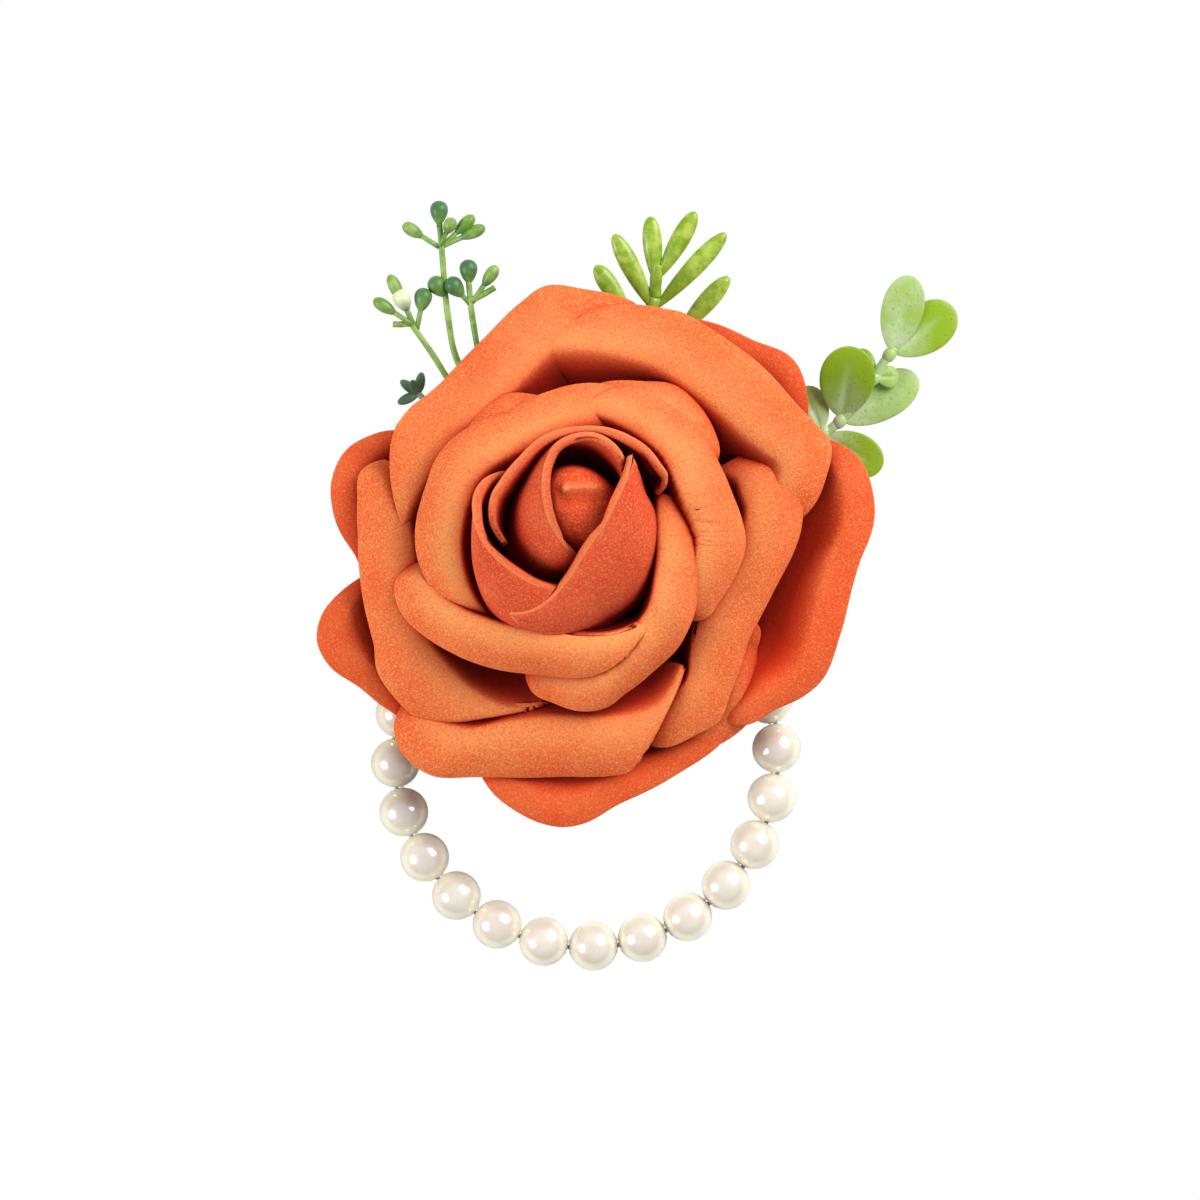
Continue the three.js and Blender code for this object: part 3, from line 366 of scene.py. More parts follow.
def add_egg(builder, foot, tip, width, thickness, widest, layer=(0, 1), cup=0.0, groove=0.0,
            rings=22, sides=20):
    """An egg-shaped bud or leaf, widest at that share of its length. Its layer grows from foot to outline,
    cup lifts its two edges by that share of its width, and groove is how deep a groove runs down it."""
    foot, tip = np.asarray(foot, float), np.asarray(tip, float)
    length = np.linalg.norm(tip - foot)
    way = (tip - foot) / length
    side = unit(np.cross(way, (0, 0, 1)))
    up = np.cross(side, way)
    turn = around(sides)
    angles = np.linspace(POINT_ANGLE, math.pi - POINT_ANGLE, rings)
    shares = ((1 - np.cos(angles)) / 2) ** (math.log(widest) / math.log(0.5))
    across = np.sin(angles)[:, None] * np.cos(turn)[None]
    high = np.sin(angles)[:, None] * np.sin(turn)[None]
    rows = (foot + way * (shares * length)[:, None, None] + side * (across * width / 2)[..., None]
            + up * (high * thickness / 2 + cup * width * across ** 2)[..., None])
    growth = np.clip(shares[:, None] * LAYER_ALONG + LAYER_ACROSS * np.abs(across) - LAYER_START, 0, 1)
    grown = layer[0] + (layer[1] - layer[0]) * growth
    if groove:
        rib = np.exp(-(across / GROOVE_WIDTH) ** 2)
        rib = rib * np.clip(GROOVE_FADE_START - GROOVE_FADE * shares, 0, 1)[:, None]
        on_top = (np.sin(turn) > 0)[None]
        rows = rows - up * (groove * rib * on_top * np.sin(angles)[:, None])[..., None]
        grown = grown * (1 - GROOVE_PALENESS * rib)
    builder.rings(rows, grown)


def add_turned(builder, profile, middle, sides):
    profile = np.asarray(profile, float)
    turn = around(sides)
    rows = np.stack([profile[:, :1] * np.cos(turn), profile[:, :1] * np.sin(turn),
                     np.repeat(profile[:, 1:], sides, 1)], -1) + np.array([middle[0], middle[1], 0])
    builder.rings(rows)


def noise_on(points, scale, seed):
    flat = points.reshape(-1, 3) / scale
    shift = Vector([seed * step for step in (7.3, 3.1, 5.7)])
    return np.array([noise.noise(Vector(p) + shift) for p in flat]).reshape(points.shape[:-1])


# Rose, with the same sizes and shares as the solids. Heights are from the side against the skin.

FOAM_THICKNESS = 1.2
FOOT = (1.2, 3.0)
GAP = 0.3
BASE_FELT_LOW, BASE_FELT_HIGH = 8.2, 9.4
CALYX_LOW, CALYX_HEIGHT = 9.7, 3.2
CORE_BOTTOM = CALYX_LOW + CALYX_HEIGHT + GAP
TUCK = 1.1
SPREAD_SHARE = 0.62
SIDE_ROLL_SHARE = 0.55
CORNER_WIDTH, CORNER_DROP = 0.12, 0.12
HANDLE_SHARE = 0.35

# A whorl's crest has the radius rim round x, y at its height, its foot the radius base at base_z. The rim
# rolls out round the radius roll by turn degrees, and low and high say how deep the petal is cupped.
WHORLS = {
    "inner": dict(rim=12, height=42, x=-1.8, y=11.8, base=6.6, base_z=19, roll=1.6, turn=30,
                  low=0.8, high=0.94),
    "middle": dict(rim=24, height=35, x=-1, y=9.4, base=8.4, base_z=17.2, roll=7, turn=76,
                   low=0.5, high=0.85),
    "outer": dict(rim=36, height=26, x=0.2, y=6.2, base=10, base_z=15.5, roll=11, turn=56,
                  low=0.6, high=0.88),
    "back": dict(rim=43, height=16.5, x=1.1, y=3.4, base=11, base_z=13.8, roll=8, turn=35,
                 low=0.8, high=0.94),
}

# How far a petal bulges below its crest, as a share of the rim radius, and where along the rim it is fullest
BELLIES = {
    "inner_petal_1": (0.85, 0.7), "inner_petal_2": (0.95, 0.5), "inner_petal_3": (0.85, 0.75),
    "inner_petal_4": (0.12, 0.5),
}
NO_BELLY = (0, 0.5)

# Degrees by which the last side of a petal is cut back, so that its rim ends before its crest does
SLANTS = {
    "middle_petal_1": 25, "middle_petal_3": 22, "middle_petal_4": 12, "middle_petal_5": 26,
    "outer_petal_1": 26, "outer_petal_2": 20, "outer_petal_5": 26, "outer_petal_6": 30,
}
SLANT_WIDTH_SHARE = 0.35

# Each petal's crest from one side to the other: degrees round the rose, and shares of its whorl's rim radius
# and height
PETALS = {
    "inner_petal_1": [
        [33, 0.82, 0.95], [43, 0.88, 0.985], [58, 0.93, 1.0], [74, 0.94, 1.01], [89, 0.89, 1.01],
        [107, 0.8, 1.005], [122, 0.665, 1.0], [147, 0.49, 1.0], [177, 0.4, 1.0], [200, 0.395, 0.99],
        [216, 0.415, 0.98], [236, 0.475, 0.96], [252, 0.56, 0.94], [264, 0.66, 0.92], [271, 0.75, 0.9]],
    "inner_petal_2": [
        [240, 1.72, 0.87], [248, 1.57, 0.9], [256, 1.35, 0.93], [264, 1.07, 0.96], [278, 0.74, 1.0],
        [294, 0.58, 1.02], [311, 0.52, 1.03], [334, 0.5, 1.04], [357, 0.53, 1.045], [374, 0.64, 1.04],
        [386, 0.78, 1.03], [399, 0.99, 1.0]],
    "inner_petal_3": [
        [158, 1.02, 0.87], [162, 1.12, 0.9], [168, 1.24, 0.93], [177, 1.32, 0.955], [190, 1.33, 0.965],
        [203, 1.31, 0.965], [217, 1.26, 0.965], [232, 1.22, 0.96], [247, 1.21, 0.95], [259, 1.19, 0.93],
        [268, 1.15, 0.9]],
    "inner_petal_4": [
        [9, 1.12, 0.86], [13, 1.23, 0.9], [18, 1.27, 0.93], [25, 1.23, 0.955], [37, 1.19, 0.97],
        [51, 1.12, 0.985], [67, 1.055, 0.99], [84, 0.99, 0.985], [101, 0.965, 0.98], [116, 0.95, 0.975],
        [130, 0.93, 0.97], [143, 0.93, 0.965], [162, 1.0, 0.955], [175, 1.09, 0.945], [187, 1.14, 0.935],
        [196, 1.15, 0.92], [209, 1.11, 0.88]],
    "middle_petal_1": [
        [60, 0.8, 0.88], [68, 0.86, 0.95], [76, 0.88, 0.99], [84, 0.875, 1.02], [95, 0.855, 1.04],
        [106, 0.838, 1.05], [122, 0.838, 1.05], [135, 0.888, 1.04], [147, 0.954, 1.02], [159, 1.0, 1.0],
        [169, 1.017, 0.99], [180, 1.042, 0.98], [191, 1.067, 0.96], [204, 1.09, 0.94], [217, 1.1, 0.92],
        [230, 1.09, 0.9]],
    "middle_petal_2": [
        [20, 0.95, 0.82], [26, 1.02, 0.87], [33, 1.05, 0.9], [41, 1.07, 0.93], [50, 1.08, 0.94],
        [57, 1.05, 0.95], [66, 0.97, 0.95], [76, 0.91, 0.93], [86, 0.86, 0.9]],
    "middle_petal_3": [
        [316, 1.0, 0.83], [322, 1.06, 0.88], [330, 1.06, 0.92], [343, 1.079, 0.96], [351, 1.079, 0.98],
        [360, 1.033, 1.0], [371, 0.985, 1.02], [386, 0.9625, 1.03], [400, 0.9625, 1.03],
        [413, 0.946, 1.03], [424, 0.935, 1.02], [434, 0.93, 1.01], [443, 0.92, 1.0], [452, 0.9, 0.99]],
    "middle_petal_4": [
        [250, 1.1, 0.72], [255, 1.2, 0.76], [262, 1.23, 0.8], [270, 1.2625, 0.84], [278, 1.25, 0.87],
        [285, 1.183, 0.9], [295, 1.1125, 0.94], [307, 1.054, 0.97], [315, 0.996, 1.0], [324, 0.929, 1.01],
        [336, 0.86, 1.02], [347, 0.81, 1.02], [357, 0.78, 1.01], [364, 0.76, 1.0], [371, 0.75, 0.985],
        [377, 0.74, 0.97]],
    "middle_petal_5": [
        [197, 1.15, 0.76], [200, 1.28, 0.82], [208, 1.32, 0.87], [218, 1.267, 0.92], [228, 1.196, 0.95],
        [241, 1.1125, 0.97], [255, 1.046, 0.98], [268, 1.04, 0.98], [281, 1.04, 0.98], [294, 1.03, 0.97],
        [306, 1.01, 0.96]],
    "middle_petal_6": [
        [104, 0.8, 0.86], [112, 0.86, 0.9], [121, 0.92, 0.92], [129, 0.935, 0.92], [138, 0.93, 0.92],
        [148, 0.935, 0.89], [156, 0.95, 0.85]],
    "outer_petal_1": [
        [73, 0.96, 0.8], [78, 1.045, 0.87], [84, 1.07, 0.92], [91, 1.085, 0.95], [99, 1.11, 0.98],
        [106, 1.06, 1.0], [118, 0.98, 1.04], [131, 0.935, 1.06], [141, 0.945, 1.04], [150, 0.96, 1.0],
        [160, 0.97, 0.98], [168, 0.975, 0.96], [176, 0.975, 0.93]],
    "outer_petal_2": [
        [3, 0.92, 0.84], [8, 1.0, 0.9], [14, 1.08, 0.94], [21, 1.15, 0.97], [27, 1.12, 1.0],
        [34, 1.085, 1.03], [46, 1.068, 1.07], [58, 1.065, 1.08], [68, 1.072, 1.06], [77, 1.06, 1.04],
        [87, 1.05, 1.02], [96, 1.04, 1.0], [104, 1.03, 0.97]],
    "outer_petal_3": [
        [284, 0.94, 0.72], [290, 0.985, 0.78], [299, 0.989, 0.83], [306, 0.99, 0.87], [313, 0.917, 0.92],
        [320, 0.867, 0.97], [328, 0.833, 1.01], [338, 0.833, 1.03], [348, 0.86, 1.04], [362, 0.933, 1.03],
        [370, 0.954, 1.01], [376, 0.935, 0.99], [381, 0.917, 0.97], [385, 0.86, 0.95], [388, 0.8, 0.93]],
    "outer_petal_4": [
        [292, 1.02, 0.62], [299, 1.06, 0.66], [305, 1.08, 0.7], [312, 1.07, 0.74], [318, 1.0, 0.77],
        [325, 0.9, 0.79], [330, 0.87, 0.79], [334, 0.85, 0.77]],
    "outer_petal_5": [
        [222, 1.12, 0.66], [225, 1.2, 0.72], [230, 1.25, 0.76], [237, 1.25, 0.8], [245, 1.158, 0.84],
        [254, 1.09, 0.87], [264, 1.05, 0.89], [275, 1.047, 0.9], [285, 1.045, 0.9], [294, 1.02, 0.9],
        [301, 0.94, 0.89], [307, 0.86, 0.88]],
    "outer_petal_6": [
        [159, 0.99, 0.78], [164, 1.04, 0.84], [171, 1.022, 0.9], [181, 1.006, 0.95], [195, 1.011, 0.97],
        [206, 1.044, 0.95], [213, 1.09, 0.93], [223, 1.09, 0.9], [233, 1.08, 0.88], [243, 1.05, 0.86],
        [251, 0.98, 0.84], [257, 0.89, 0.84]],
    "back_petal_1": [
        [144, 0.72, 0.96], [148, 0.87, 0.98], [153, 0.955, 1.0], [158, 0.998, 1.03], [164, 1.003, 1.05],
        [169, 0.98, 1.04], [174, 0.94, 1.0], [179, 0.885, 0.97], [184, 0.84, 0.93], [189, 0.72, 0.9]],
    "back_petal_2": [
        [182, 0.72, 0.96], [186, 0.87, 1.0], [190, 0.974, 1.03], [194, 1.04, 1.07], [198, 1.067, 1.08],
        [203, 1.05, 1.07], [209, 0.99, 1.04], [216, 0.95, 1.0], [222, 0.9, 0.96], [228, 0.72, 0.92]],
    "back_petal_3": [
        [236, 0.66, 0.94], [240, 0.85, 0.97], [246, 0.937, 1.0], [254, 0.986, 1.02], [262, 1.01, 1.04],
        [268, 0.99, 1.05], [275, 0.925, 1.03], [283, 0.89, 1.0], [293, 0.86, 0.97], [304, 0.837, 0.94],
        [313, 0.8, 0.92], [320, 0.68, 0.9]],
    "back_petal_4": [
        [306, 0.72, 1.0], [312, 0.84, 1.05], [320, 0.88, 1.1], [327, 0.94, 1.15], [333, 0.966, 1.2],
        [342, 0.956, 1.25], [351, 0.957, 1.27], [359, 0.982, 1.27], [366, 1.036, 1.25], [372, 1.055, 1.22],
        [379, 1.05, 1.18], [384, 1.0, 1.12], [388, 0.92, 1.06], [392, 0.76, 1.0]],
    "back_petal_5": [
        [24, 0.72, 0.93], [29, 0.87, 0.97], [34, 0.955, 1.0], [41, 1.02, 1.04], [46, 1.03, 1.06],
        [53, 0.995, 1.07], [61, 0.975, 1.05], [69, 0.94, 1.02], [77, 0.87, 0.98], [85, 0.7, 0.95]],
    "back_petal_6": [
        [86, 0.6, 0.94], [92, 0.77, 0.97], [100, 0.84, 1.0], [110, 0.84, 1.02], [120, 0.84, 1.02],
        [130, 0.83, 1.0], [138, 0.76, 0.97], [144, 0.6, 0.94]],
}

# Wrinkles where the foam was stretched over the roll: their depth, how fine they are round and along the
# petal, how steep, the patches that they come in, and the part of the petal that they keep to
WRINKLES = {
    "outer_petal_1": 0.07, "middle_petal_3": 0.09, "middle_petal_4": 0.07, "middle_petal_1": 0.07,
    "outer_petal_6": 0.07, "middle_petal_5": 0.05,
}
WRINKLES_ROUND, WRINKLES_ALONG, WRINKLES_STEEPNESS = 1.25, 2.2, 2.4
PATCH_SIZE, PATCH_STEEPNESS, PATCH_SHARE = 9, 3, 0.4
WRINKLED_AT, WRINKLED_WIDTH, WRINKLED_END, WRINKLED_FADE = 1.2, 0.5, 0.86, 0.3

# Slow waves all over a petal, as size and depth
LONG_WAVES, SHORT_WAVES = (13, 0.5), (5.5, 0.14)

# Each kind of noise on a petal starts from its number with one of these added
SHORT_SEED, PATCH_SEED, CREASE_SEED = 40, 20, 80

# Places on a petal's sheet, and the distances of the last few from its edge as shares of half its thickness
PLACES_ACROSS, PLACES_ACROSS_WRINKLES, PLACES_ALONG = 90, 230, 76
EDGE_STEPS = (0, 0.02, 0.08, 0.2, 0.4, 0.7, 1.0)
DEGREES_IN_RADIAN = 57.3
CURVE_LENGTH_SHARE = 1.2

# How each whorl's foam is finished: the share of the waves that it has, the radius of its cut edges, how far
# up it the painted shade of its root reaches and the least of it, how strong and how wide the painted
# highlight on its crest is, and how pale and how wide its edges are
ROLLED = dict(slot="petal_foam", waves=1.0, edge_radius=0.4, root_shade_reach=0.95, root_shade_least=0.0,
              crest=0.45, crest_width=0.3, edge=0.4, edge_width=0.3)
FINISHES = {
    "inner": dict(slot="bud_foam", waves=0.15, edge_radius=0.28, root_shade_reach=0.5, root_shade_least=0.08,
                  crest=0.0, crest_width=0.3, edge=1.0, edge_width=0.7),
    "middle": dict(ROLLED, crest=0.75, crest_width=0.36),
    "outer": ROLLED,
    "back": dict(ROLLED, crest=0.1, root_shade_least=0.2),
}
# How the painted shade fades from a petal's root
ROOT_SHADE_CURVE = 0.7
# Where along the petal the painted crest highlight is centred, and its strength, more where the waves lift
# the sheet
CREST_HIGHLIGHT_AT = 1.1
CREST_HIGHLIGHT_BASE, CREST_HIGHLIGHT_ON_WAVES = 0.65, 0.7


def read_table(rows, places):
    rows = np.asarray(rows, float)
    spots = np.clip(places, 0, 1) * (len(rows) - 1)
    index = np.minimum(spots.astype(int), len(rows) - 2)
    t = (spots - index)[:, None]
    before, start = rows[np.maximum(index - 1, 0)], rows[index]
    end, after = rows[index + 1], rows[np.minimum(index + 2, len(rows) - 1)]
    slope_in, slope_out, rise = (end - before) / 2, (after - start) / 2, end - start
    return (start + slope_in * t + (3 * rise - 2 * slope_in - slope_out) * t ** 2
            + (slope_in + slope_out - 2 * rise) * t ** 3)


def axis_at(height):
    inner = WHORLS["inner"]
    up = (np.asarray(height, float) - CORE_BOTTOM) / (inner["height"] - CORE_BOTTOM)
    return FOOT[0] + (inner["x"] - FOOT[0]) * up, FOOT[1] + (inner["y"] - FOOT[1]) * up


def petal_middle(whorl, table, across, along, belly, slant):
    """Points on the middle of the foam, for each place across by each place along. Along goes from 0 at the
    root over 1 at the crest to 2 at the end of the roll."""
    roll, base_z = whorl["roll"], whorl["base_z"]
    degrees, radius_share, height_share = read_table(table, across).T[..., None]
    middle_degrees = (table[0][0] + table[-1][0]) / 2
    turn_all = np.radians(whorl["turn"] * (SIDE_ROLL_SHARE + (1 - SIDE_ROLL_SHARE)
                                           * np.sin(math.pi * across)))[:, None]
    crest = whorl["rim"] * radius_share - roll * np.sin(np.minimum(turn_all, math.pi / 2))
    crest_z = whorl["height"] * height_share
    base = whorl["base"] + TUCK * (1 - 2 * across)[:, None]
    inside = np.minimum(np.minimum(across, 1 - across) / CORNER_WIDTH, 1)[:, None]
    along = along[None] * (1 - CORNER_DROP * (1 - inside) ** 2)
    up = np.minimum(along, 1)
    reach = crest - base
    belly_share, peak = belly
    belly = belly_share * whorl["rim"] * np.maximum(
        np.sin(math.pi * across ** (math.log(0.5) / math.log(peak))), 0)[:, None]
    slant = slant * np.maximum(1 - (1 - across) / SLANT_WIDTH_SHARE, 0)[:, None] * np.maximum(along - 1, 0)

    def bezier(a, b, c, d):
        return (1 - up) ** 3 * a + 3 * up * (1 - up) ** 2 * b + 3 * up ** 2 * (1 - up) * c + up ** 3 * d

    turn = np.maximum(along - 1, 0) * turn_all
    radius = bezier(base, base + whorl["low"] * reach + belly, base + whorl["high"] * reach + belly, crest)
    height = bezier(base_z, base_z + HANDLE_SHARE * belly, crest_z - HANDLE_SHARE * belly, crest_z)
    radius = radius + roll * np.sin(turn)
    height = height - roll * (1 - np.cos(turn))
    spread = SPREAD_SHARE + (1 - SPREAD_SHARE) * up * up * (3 - 2 * up)
    angle = np.radians(middle_degrees + (degrees - middle_degrees) * spread - slant)
    foot = axis_at(base_z)
    return np.stack([foot[0] + (whorl["x"] - foot[0]) * up + radius * np.cos(angle),
                     foot[1] + (whorl["y"] - foot[1]) * up + radius * np.sin(angle),
                     height + 0 * angle], -1)


def normals_of(points):
    across = np.gradient(points, axis=0)
    along = np.gradient(points, axis=1)
    normal = np.cross(across, along)
    return normal / np.maximum(np.linalg.norm(normal, axis=-1), 1e-9)[..., None]


def edge_places(last, count, length):
    """Evenly spread places from 0 to last with a few more close to both ends, for round edges."""
    near = np.array(EDGE_STEPS) * FOAM_THICKNESS / 2 / length * last
    inside = np.linspace(0, last, count)[1:-1]
    inside = inside[(inside > near[-1]) & (inside < last - near[-1])]
    return np.concatenate([near, inside, last - near[::-1]])


def wrinkles_on(points, across, along, rim, depth, seed):
    """How far each point rises or falls in the wrinkles."""
    arc = np.repeat((across * rim)[:, None], len(along), 1)
    rows = np.repeat((along * WRINKLES_ALONG)[None], len(across), 0)
    crease = noise_on(np.stack([arc * WRINKLES_ROUND, rows, 0 * arc], -1), 1, seed + CREASE_SEED)
    crease = np.clip(crease * WRINKLES_STEEPNESS, -1, 1)
    patch = np.clip(noise_on(points, PATCH_SIZE, seed + PATCH_SEED) * PATCH_STEEPNESS + PATCH_SHARE, 0, 1)
    on_roll = np.exp(-((along - WRINKLED_AT) / WRINKLED_WIDTH) ** 2)[None]
    off_sides = np.clip(np.minimum(WRINKLED_END - across, across) / WRINKLED_FADE, 0, 1)[:, None]
    return depth * crease * patch * (on_roll * off_sides)


def edge_distance(points):
    """How far each point is from the nearest edge, measured on the sheet."""
    def distance(axis):
        steps = np.linalg.norm(np.diff(points, axis=axis), axis=-1)
        lead = np.cumsum(steps, axis=axis)
        start = np.zeros_like(np.take(lead, [0], axis))
        there = np.concatenate([start, lead], axis)
        return np.minimum(there, np.take(there, [-1], axis) - there)
    return np.minimum(distance(0), distance(1))


def sheet_faces(rows, columns):
    """The faces of a sheet's two sides, whose points follow each other, and of the edges between them."""
    def at(r, c, side):
        return side * rows * columns + r * columns + c

    faces = []
    last_row, last_column = rows - 1, columns - 1
    for r in range(last_row):
        for c in range(last_column):
            faces.append((at(r, c, 0), at(r + 1, c, 0), at(r + 1, c + 1, 0), at(r, c + 1, 0)))
            faces.append((at(r, c, 1), at(r, c + 1, 1), at(r + 1, c + 1, 1), at(r + 1, c, 1)))
        faces.append((at(r, 0, 0), at(r, 0, 1), at(r + 1, 0, 1), at(r + 1, 0, 0)))
        faces.append((at(r, last_column, 0), at(r + 1, last_column, 0),
                      at(r + 1, last_column, 1), at(r, last_column, 1)))
    for c in range(last_column):
        faces.append((at(0, c, 0), at(0, c + 1, 0), at(0, c + 1, 1), at(0, c, 1)))
        faces.append((at(last_row, c, 0), at(last_row, c, 1), at(last_row, c + 1, 1), at(last_row, c + 1, 0)))
    return faces


def petal(name, number):
    table = PETALS[name]
    kind = name.split("_")[0]
    whorl, finish = WHORLS[kind], FINISHES[kind]
    rim = (table[-1][0] - table[0][0]) / DEGREES_IN_RADIAN * whorl["rim"]
    across = edge_places(1, PLACES_ACROSS_WRINKLES if name in WRINKLES else PLACES_ACROSS, rim)
    tall = whorl["height"] - whorl["base_z"] + whorl["rim"] - whorl["base"]
    along = edge_places(2, PLACES_ALONG, tall * CURVE_LENGTH_SHARE)
    points = petal_middle(whorl, table, across, along, BELLIES.get(name, NO_BELLY), SLANTS.get(name, 0))

    normal = normals_of(points)
    wave = (noise_on(points, LONG_WAVES[0], number) * LONG_WAVES[1]
            + noise_on(points, SHORT_WAVES[0], number + SHORT_SEED) * SHORT_WAVES[1])
    up = np.minimum(along, 1)[None]
    points = points + normal * (wave * up ** 2 * finish["waves"])[..., None]
    if name in WRINKLES:
        points = points + normal * wrinkles_on(points, across, along, rim, WRINKLES[name], number)[..., None]

    # The sheet thins towards its edges, which rounds them
    edge = edge_distance(points)
    radius = finish["edge_radius"]
    inwards = np.clip(edge / radius, 0, 1)
    half = FOAM_THICKNESS / 2 - radius + radius * np.sqrt(1 - (1 - inwards) ** 2)
    lift = normals_of(points) * half[..., None]
    both = np.concatenate([(points + lift).reshape(-1, 3), (points - lift).reshape(-1, 3)])

    # Painted shade: darker towards the root, never less than root_shade_least
    root = np.clip(1 - along / finish["root_shade_reach"], 0, 1) ** ROOT_SHADE_CURVE
    root = np.broadcast_to(np.maximum(root, finish["root_shade_least"]), edge.shape).reshape(-1)
    # Painted highlight along the crest, stronger where the waves lift the sheet, and paler cut edges; both go
    # into the crest layer
    crest_highlight = finish["crest"] * np.exp(-((along - CREST_HIGHLIGHT_AT) / finish["crest_width"]) ** 2)[None]
    crest = (crest_highlight * (CREST_HIGHLIGHT_BASE + CREST_HIGHLIGHT_ON_WAVES * np.clip(wave + 0.5, 0, 1))
             + finish["edge"] * np.exp(-(edge / finish["edge_width"]) ** 2))
    crest = np.clip(crest, 0, 1).reshape(-1)

    builder = Builder()
    builder.add(both, sheet_faces(*edge.shape), np.concatenate([root, root]))
    made = builder.build(name + "_foam", FOAMS[finish["slot"]], "rose", name, "root")
    set_layer(made.data, "crest", np.concatenate([crest, crest]))


for number, petal_name in enumerate(PETALS):
    petal(petal_name, number)


# Bud: the rolled core, longer than wide, with its tip leaning. A fold runs to the right from a nub on the
# tip, with a hollow under it. Fold and nub carry a painted highlight; the hollow and the lower bud carry
# painted shade.

CORE_RADIUS = 4.4
CORE_WIDENS_FROM = 19
BUD = dict(half_width=7, half_length=6.7, rise=5.5, top=40.8, tip_x=-1.4, tip_y=2.6)
BUD_SIDES = 144
BUD_WALL_RINGS, BUD_DOME_RINGS = 24, 48
BUD_DOME_END = 1.55
FOLD = dict(start=1.6, end=7.2, end_fade=2.5, bow=0.25, bow_length=7, bow_pace=0.5, width=0.75, height=0.55)
HOLLOW = dict(drop=2.2, width=1.1, depth=0.5)
NUB = dict(radius=0.85, height=0.9)
# Painted shade on the bud: it grows downwards from top over fade up to most, less along the fold, more in the
# hollow
BUD_ROOT_SHADE = dict(top=39.5, fade=8, most=0.85, fold=0.2, hollow=0.1)
# Strength of the painted highlight along the fold; the nub gets it in full
FOLD_HIGHLIGHT = 0.6


def bud():
    rings = [(CORE_BOTTOM, CORE_RADIUS, CORE_RADIUS, 0)]
    wall = BUD["top"] - BUD["rise"] - CORE_WIDENS_FROM
    for share in np.linspace(0, 1, BUD_WALL_RINGS)[:-1]:
        rings.append((CORE_WIDENS_FROM + wall * share,
                      CORE_RADIUS + (BUD["half_width"] - CORE_RADIUS) * share,
                      CORE_RADIUS + (BUD["half_length"] - CORE_RADIUS) * share, 0))
    for angle in np.linspace(0, BUD_DOME_END, BUD_DOME_RINGS):
        out, up = math.cos(angle), math.sin(angle)
        rings.append((BUD["top"] - BUD["rise"] * (1 - up), BUD["half_width"] * out,
                      BUD["half_length"] * out, up))
    heights, half_widths, half_lengths, leans = np.array(rings).T[..., None]
    axis_x, axis_y = axis_at(heights)
    turn = around(BUD_SIDES)
    x = axis_x + BUD["tip_x"] * leans + half_widths * np.cos(turn)
    y = axis_y + BUD["tip_y"] * leans + half_lengths * np.sin(turn)

    top_x, top_y = axis_at(BUD["top"])
    right, above = x - (top_x + BUD["tip_x"]), y - (top_y + BUD["tip_y"])
    on_dome = leans > 0
    on_fold = (np.clip((right + FOLD["start"]) / FOLD["start"], 0, 1)
               * np.clip((FOLD["end"] - right) / FOLD["end_fade"], 0, 1) * on_dome)
    bow = FOLD["bow"] * np.sin(np.clip(right, 0, FOLD["bow_length"]) * FOLD["bow_pace"])
    from_fold = above - bow
    fold = np.exp(-(from_fold / FOLD["width"]) ** 2) * on_fold
    hollow = np.exp(-((from_fold + HOLLOW["drop"]) / HOLLOW["width"]) ** 2) * on_fold
    nub = np.exp(-(np.hypot(right, above) / NUB["radius"]) ** 3) * on_dome
    z = heights + np.maximum(FOLD["height"] * fold, NUB["height"] * nub) - HOLLOW["depth"] * hollow

    # Painted shade: darker lower down the bud and in the hollow, less along the fold
    root = np.clip((BUD_ROOT_SHADE["top"] - heights) / BUD_ROOT_SHADE["fade"], 0, BUD_ROOT_SHADE["most"])
    root = np.clip(root - BUD_ROOT_SHADE["fold"] * fold + BUD_ROOT_SHADE["hollow"] * hollow, 0, 1)
    builder = Builder()
    builder.rings(np.stack([x, y, z], -1), root)
    made = builder.build("bud_core_foam", core_foam, "rose", "bud_core", "root")
    # Painted highlight along the fold and on the nub
    set_layer(made.data, "crest", np.maximum(FOLD_HIGHLIGHT * fold, nub))


bud()


# Felt, glue and calyx

ROUND_ANGLES = np.linspace(0, 1.57, 6)
DISC_SIDES, CALYX_SIDES = 128, 64

# The outer share of a disc is ragged, outwards by the most at most, by noise of two sizes with their seeds
RAGGED_SHARE, RAGGED_MOST = 0.2, 0.1
FINE_RAGGED, BROAD_RAGGED = (1.2, 5), (6, 9)

SEPALS = 5
SEPAL = dict(width=7.2, thickness=0.8, widest=0.42)
SEPAL_START, SEPAL_LENGTH, SEPAL_Z = 7.4, 11.0, 12.45


def rounded_disc(radius, low, high, soft):
    """The profile of a disc whose two edges have the radius soft."""
    lower = [(radius - soft + soft * math.sin(a), low + soft - soft * math.cos(a)) for a in ROUND_ANGLES]
    upper = [(radius - soft + soft * math.cos(a), high - soft + soft * math.sin(a)) for a in ROUND_ANGLES]
    return [(POINT_RADIUS, low)] + lower + upper + [(POINT_RADIUS, high)]


def disc_piece(name, radius, low, high, soft, ragged, material, middle=(0, 0)):
    builder = Builder()
    add_turned(builder, rounded_disc(radius, low, high, soft), middle, DISC_SIDES)
    points = builder.points[0]
    away = points[:, :2] - np.asarray(middle)
    far = np.linalg.norm(away, axis=1)
    wobble = noise_on(points, *FINE_RAGGED) * ragged + noise_on(points, *BROAD_RAGGED) * ragged
    at_edge = np.clip((far - radius * (1 - RAGGED_SHARE)) / (radius * RAGGED_SHARE), 0, 1)
    points[:, :2] += away * (at_edge * np.minimum(wobble, RAGGED_MOST) / np.maximum(far, 0.1))[:, None]
    builder.build(name + "_look", material, "rose", name)


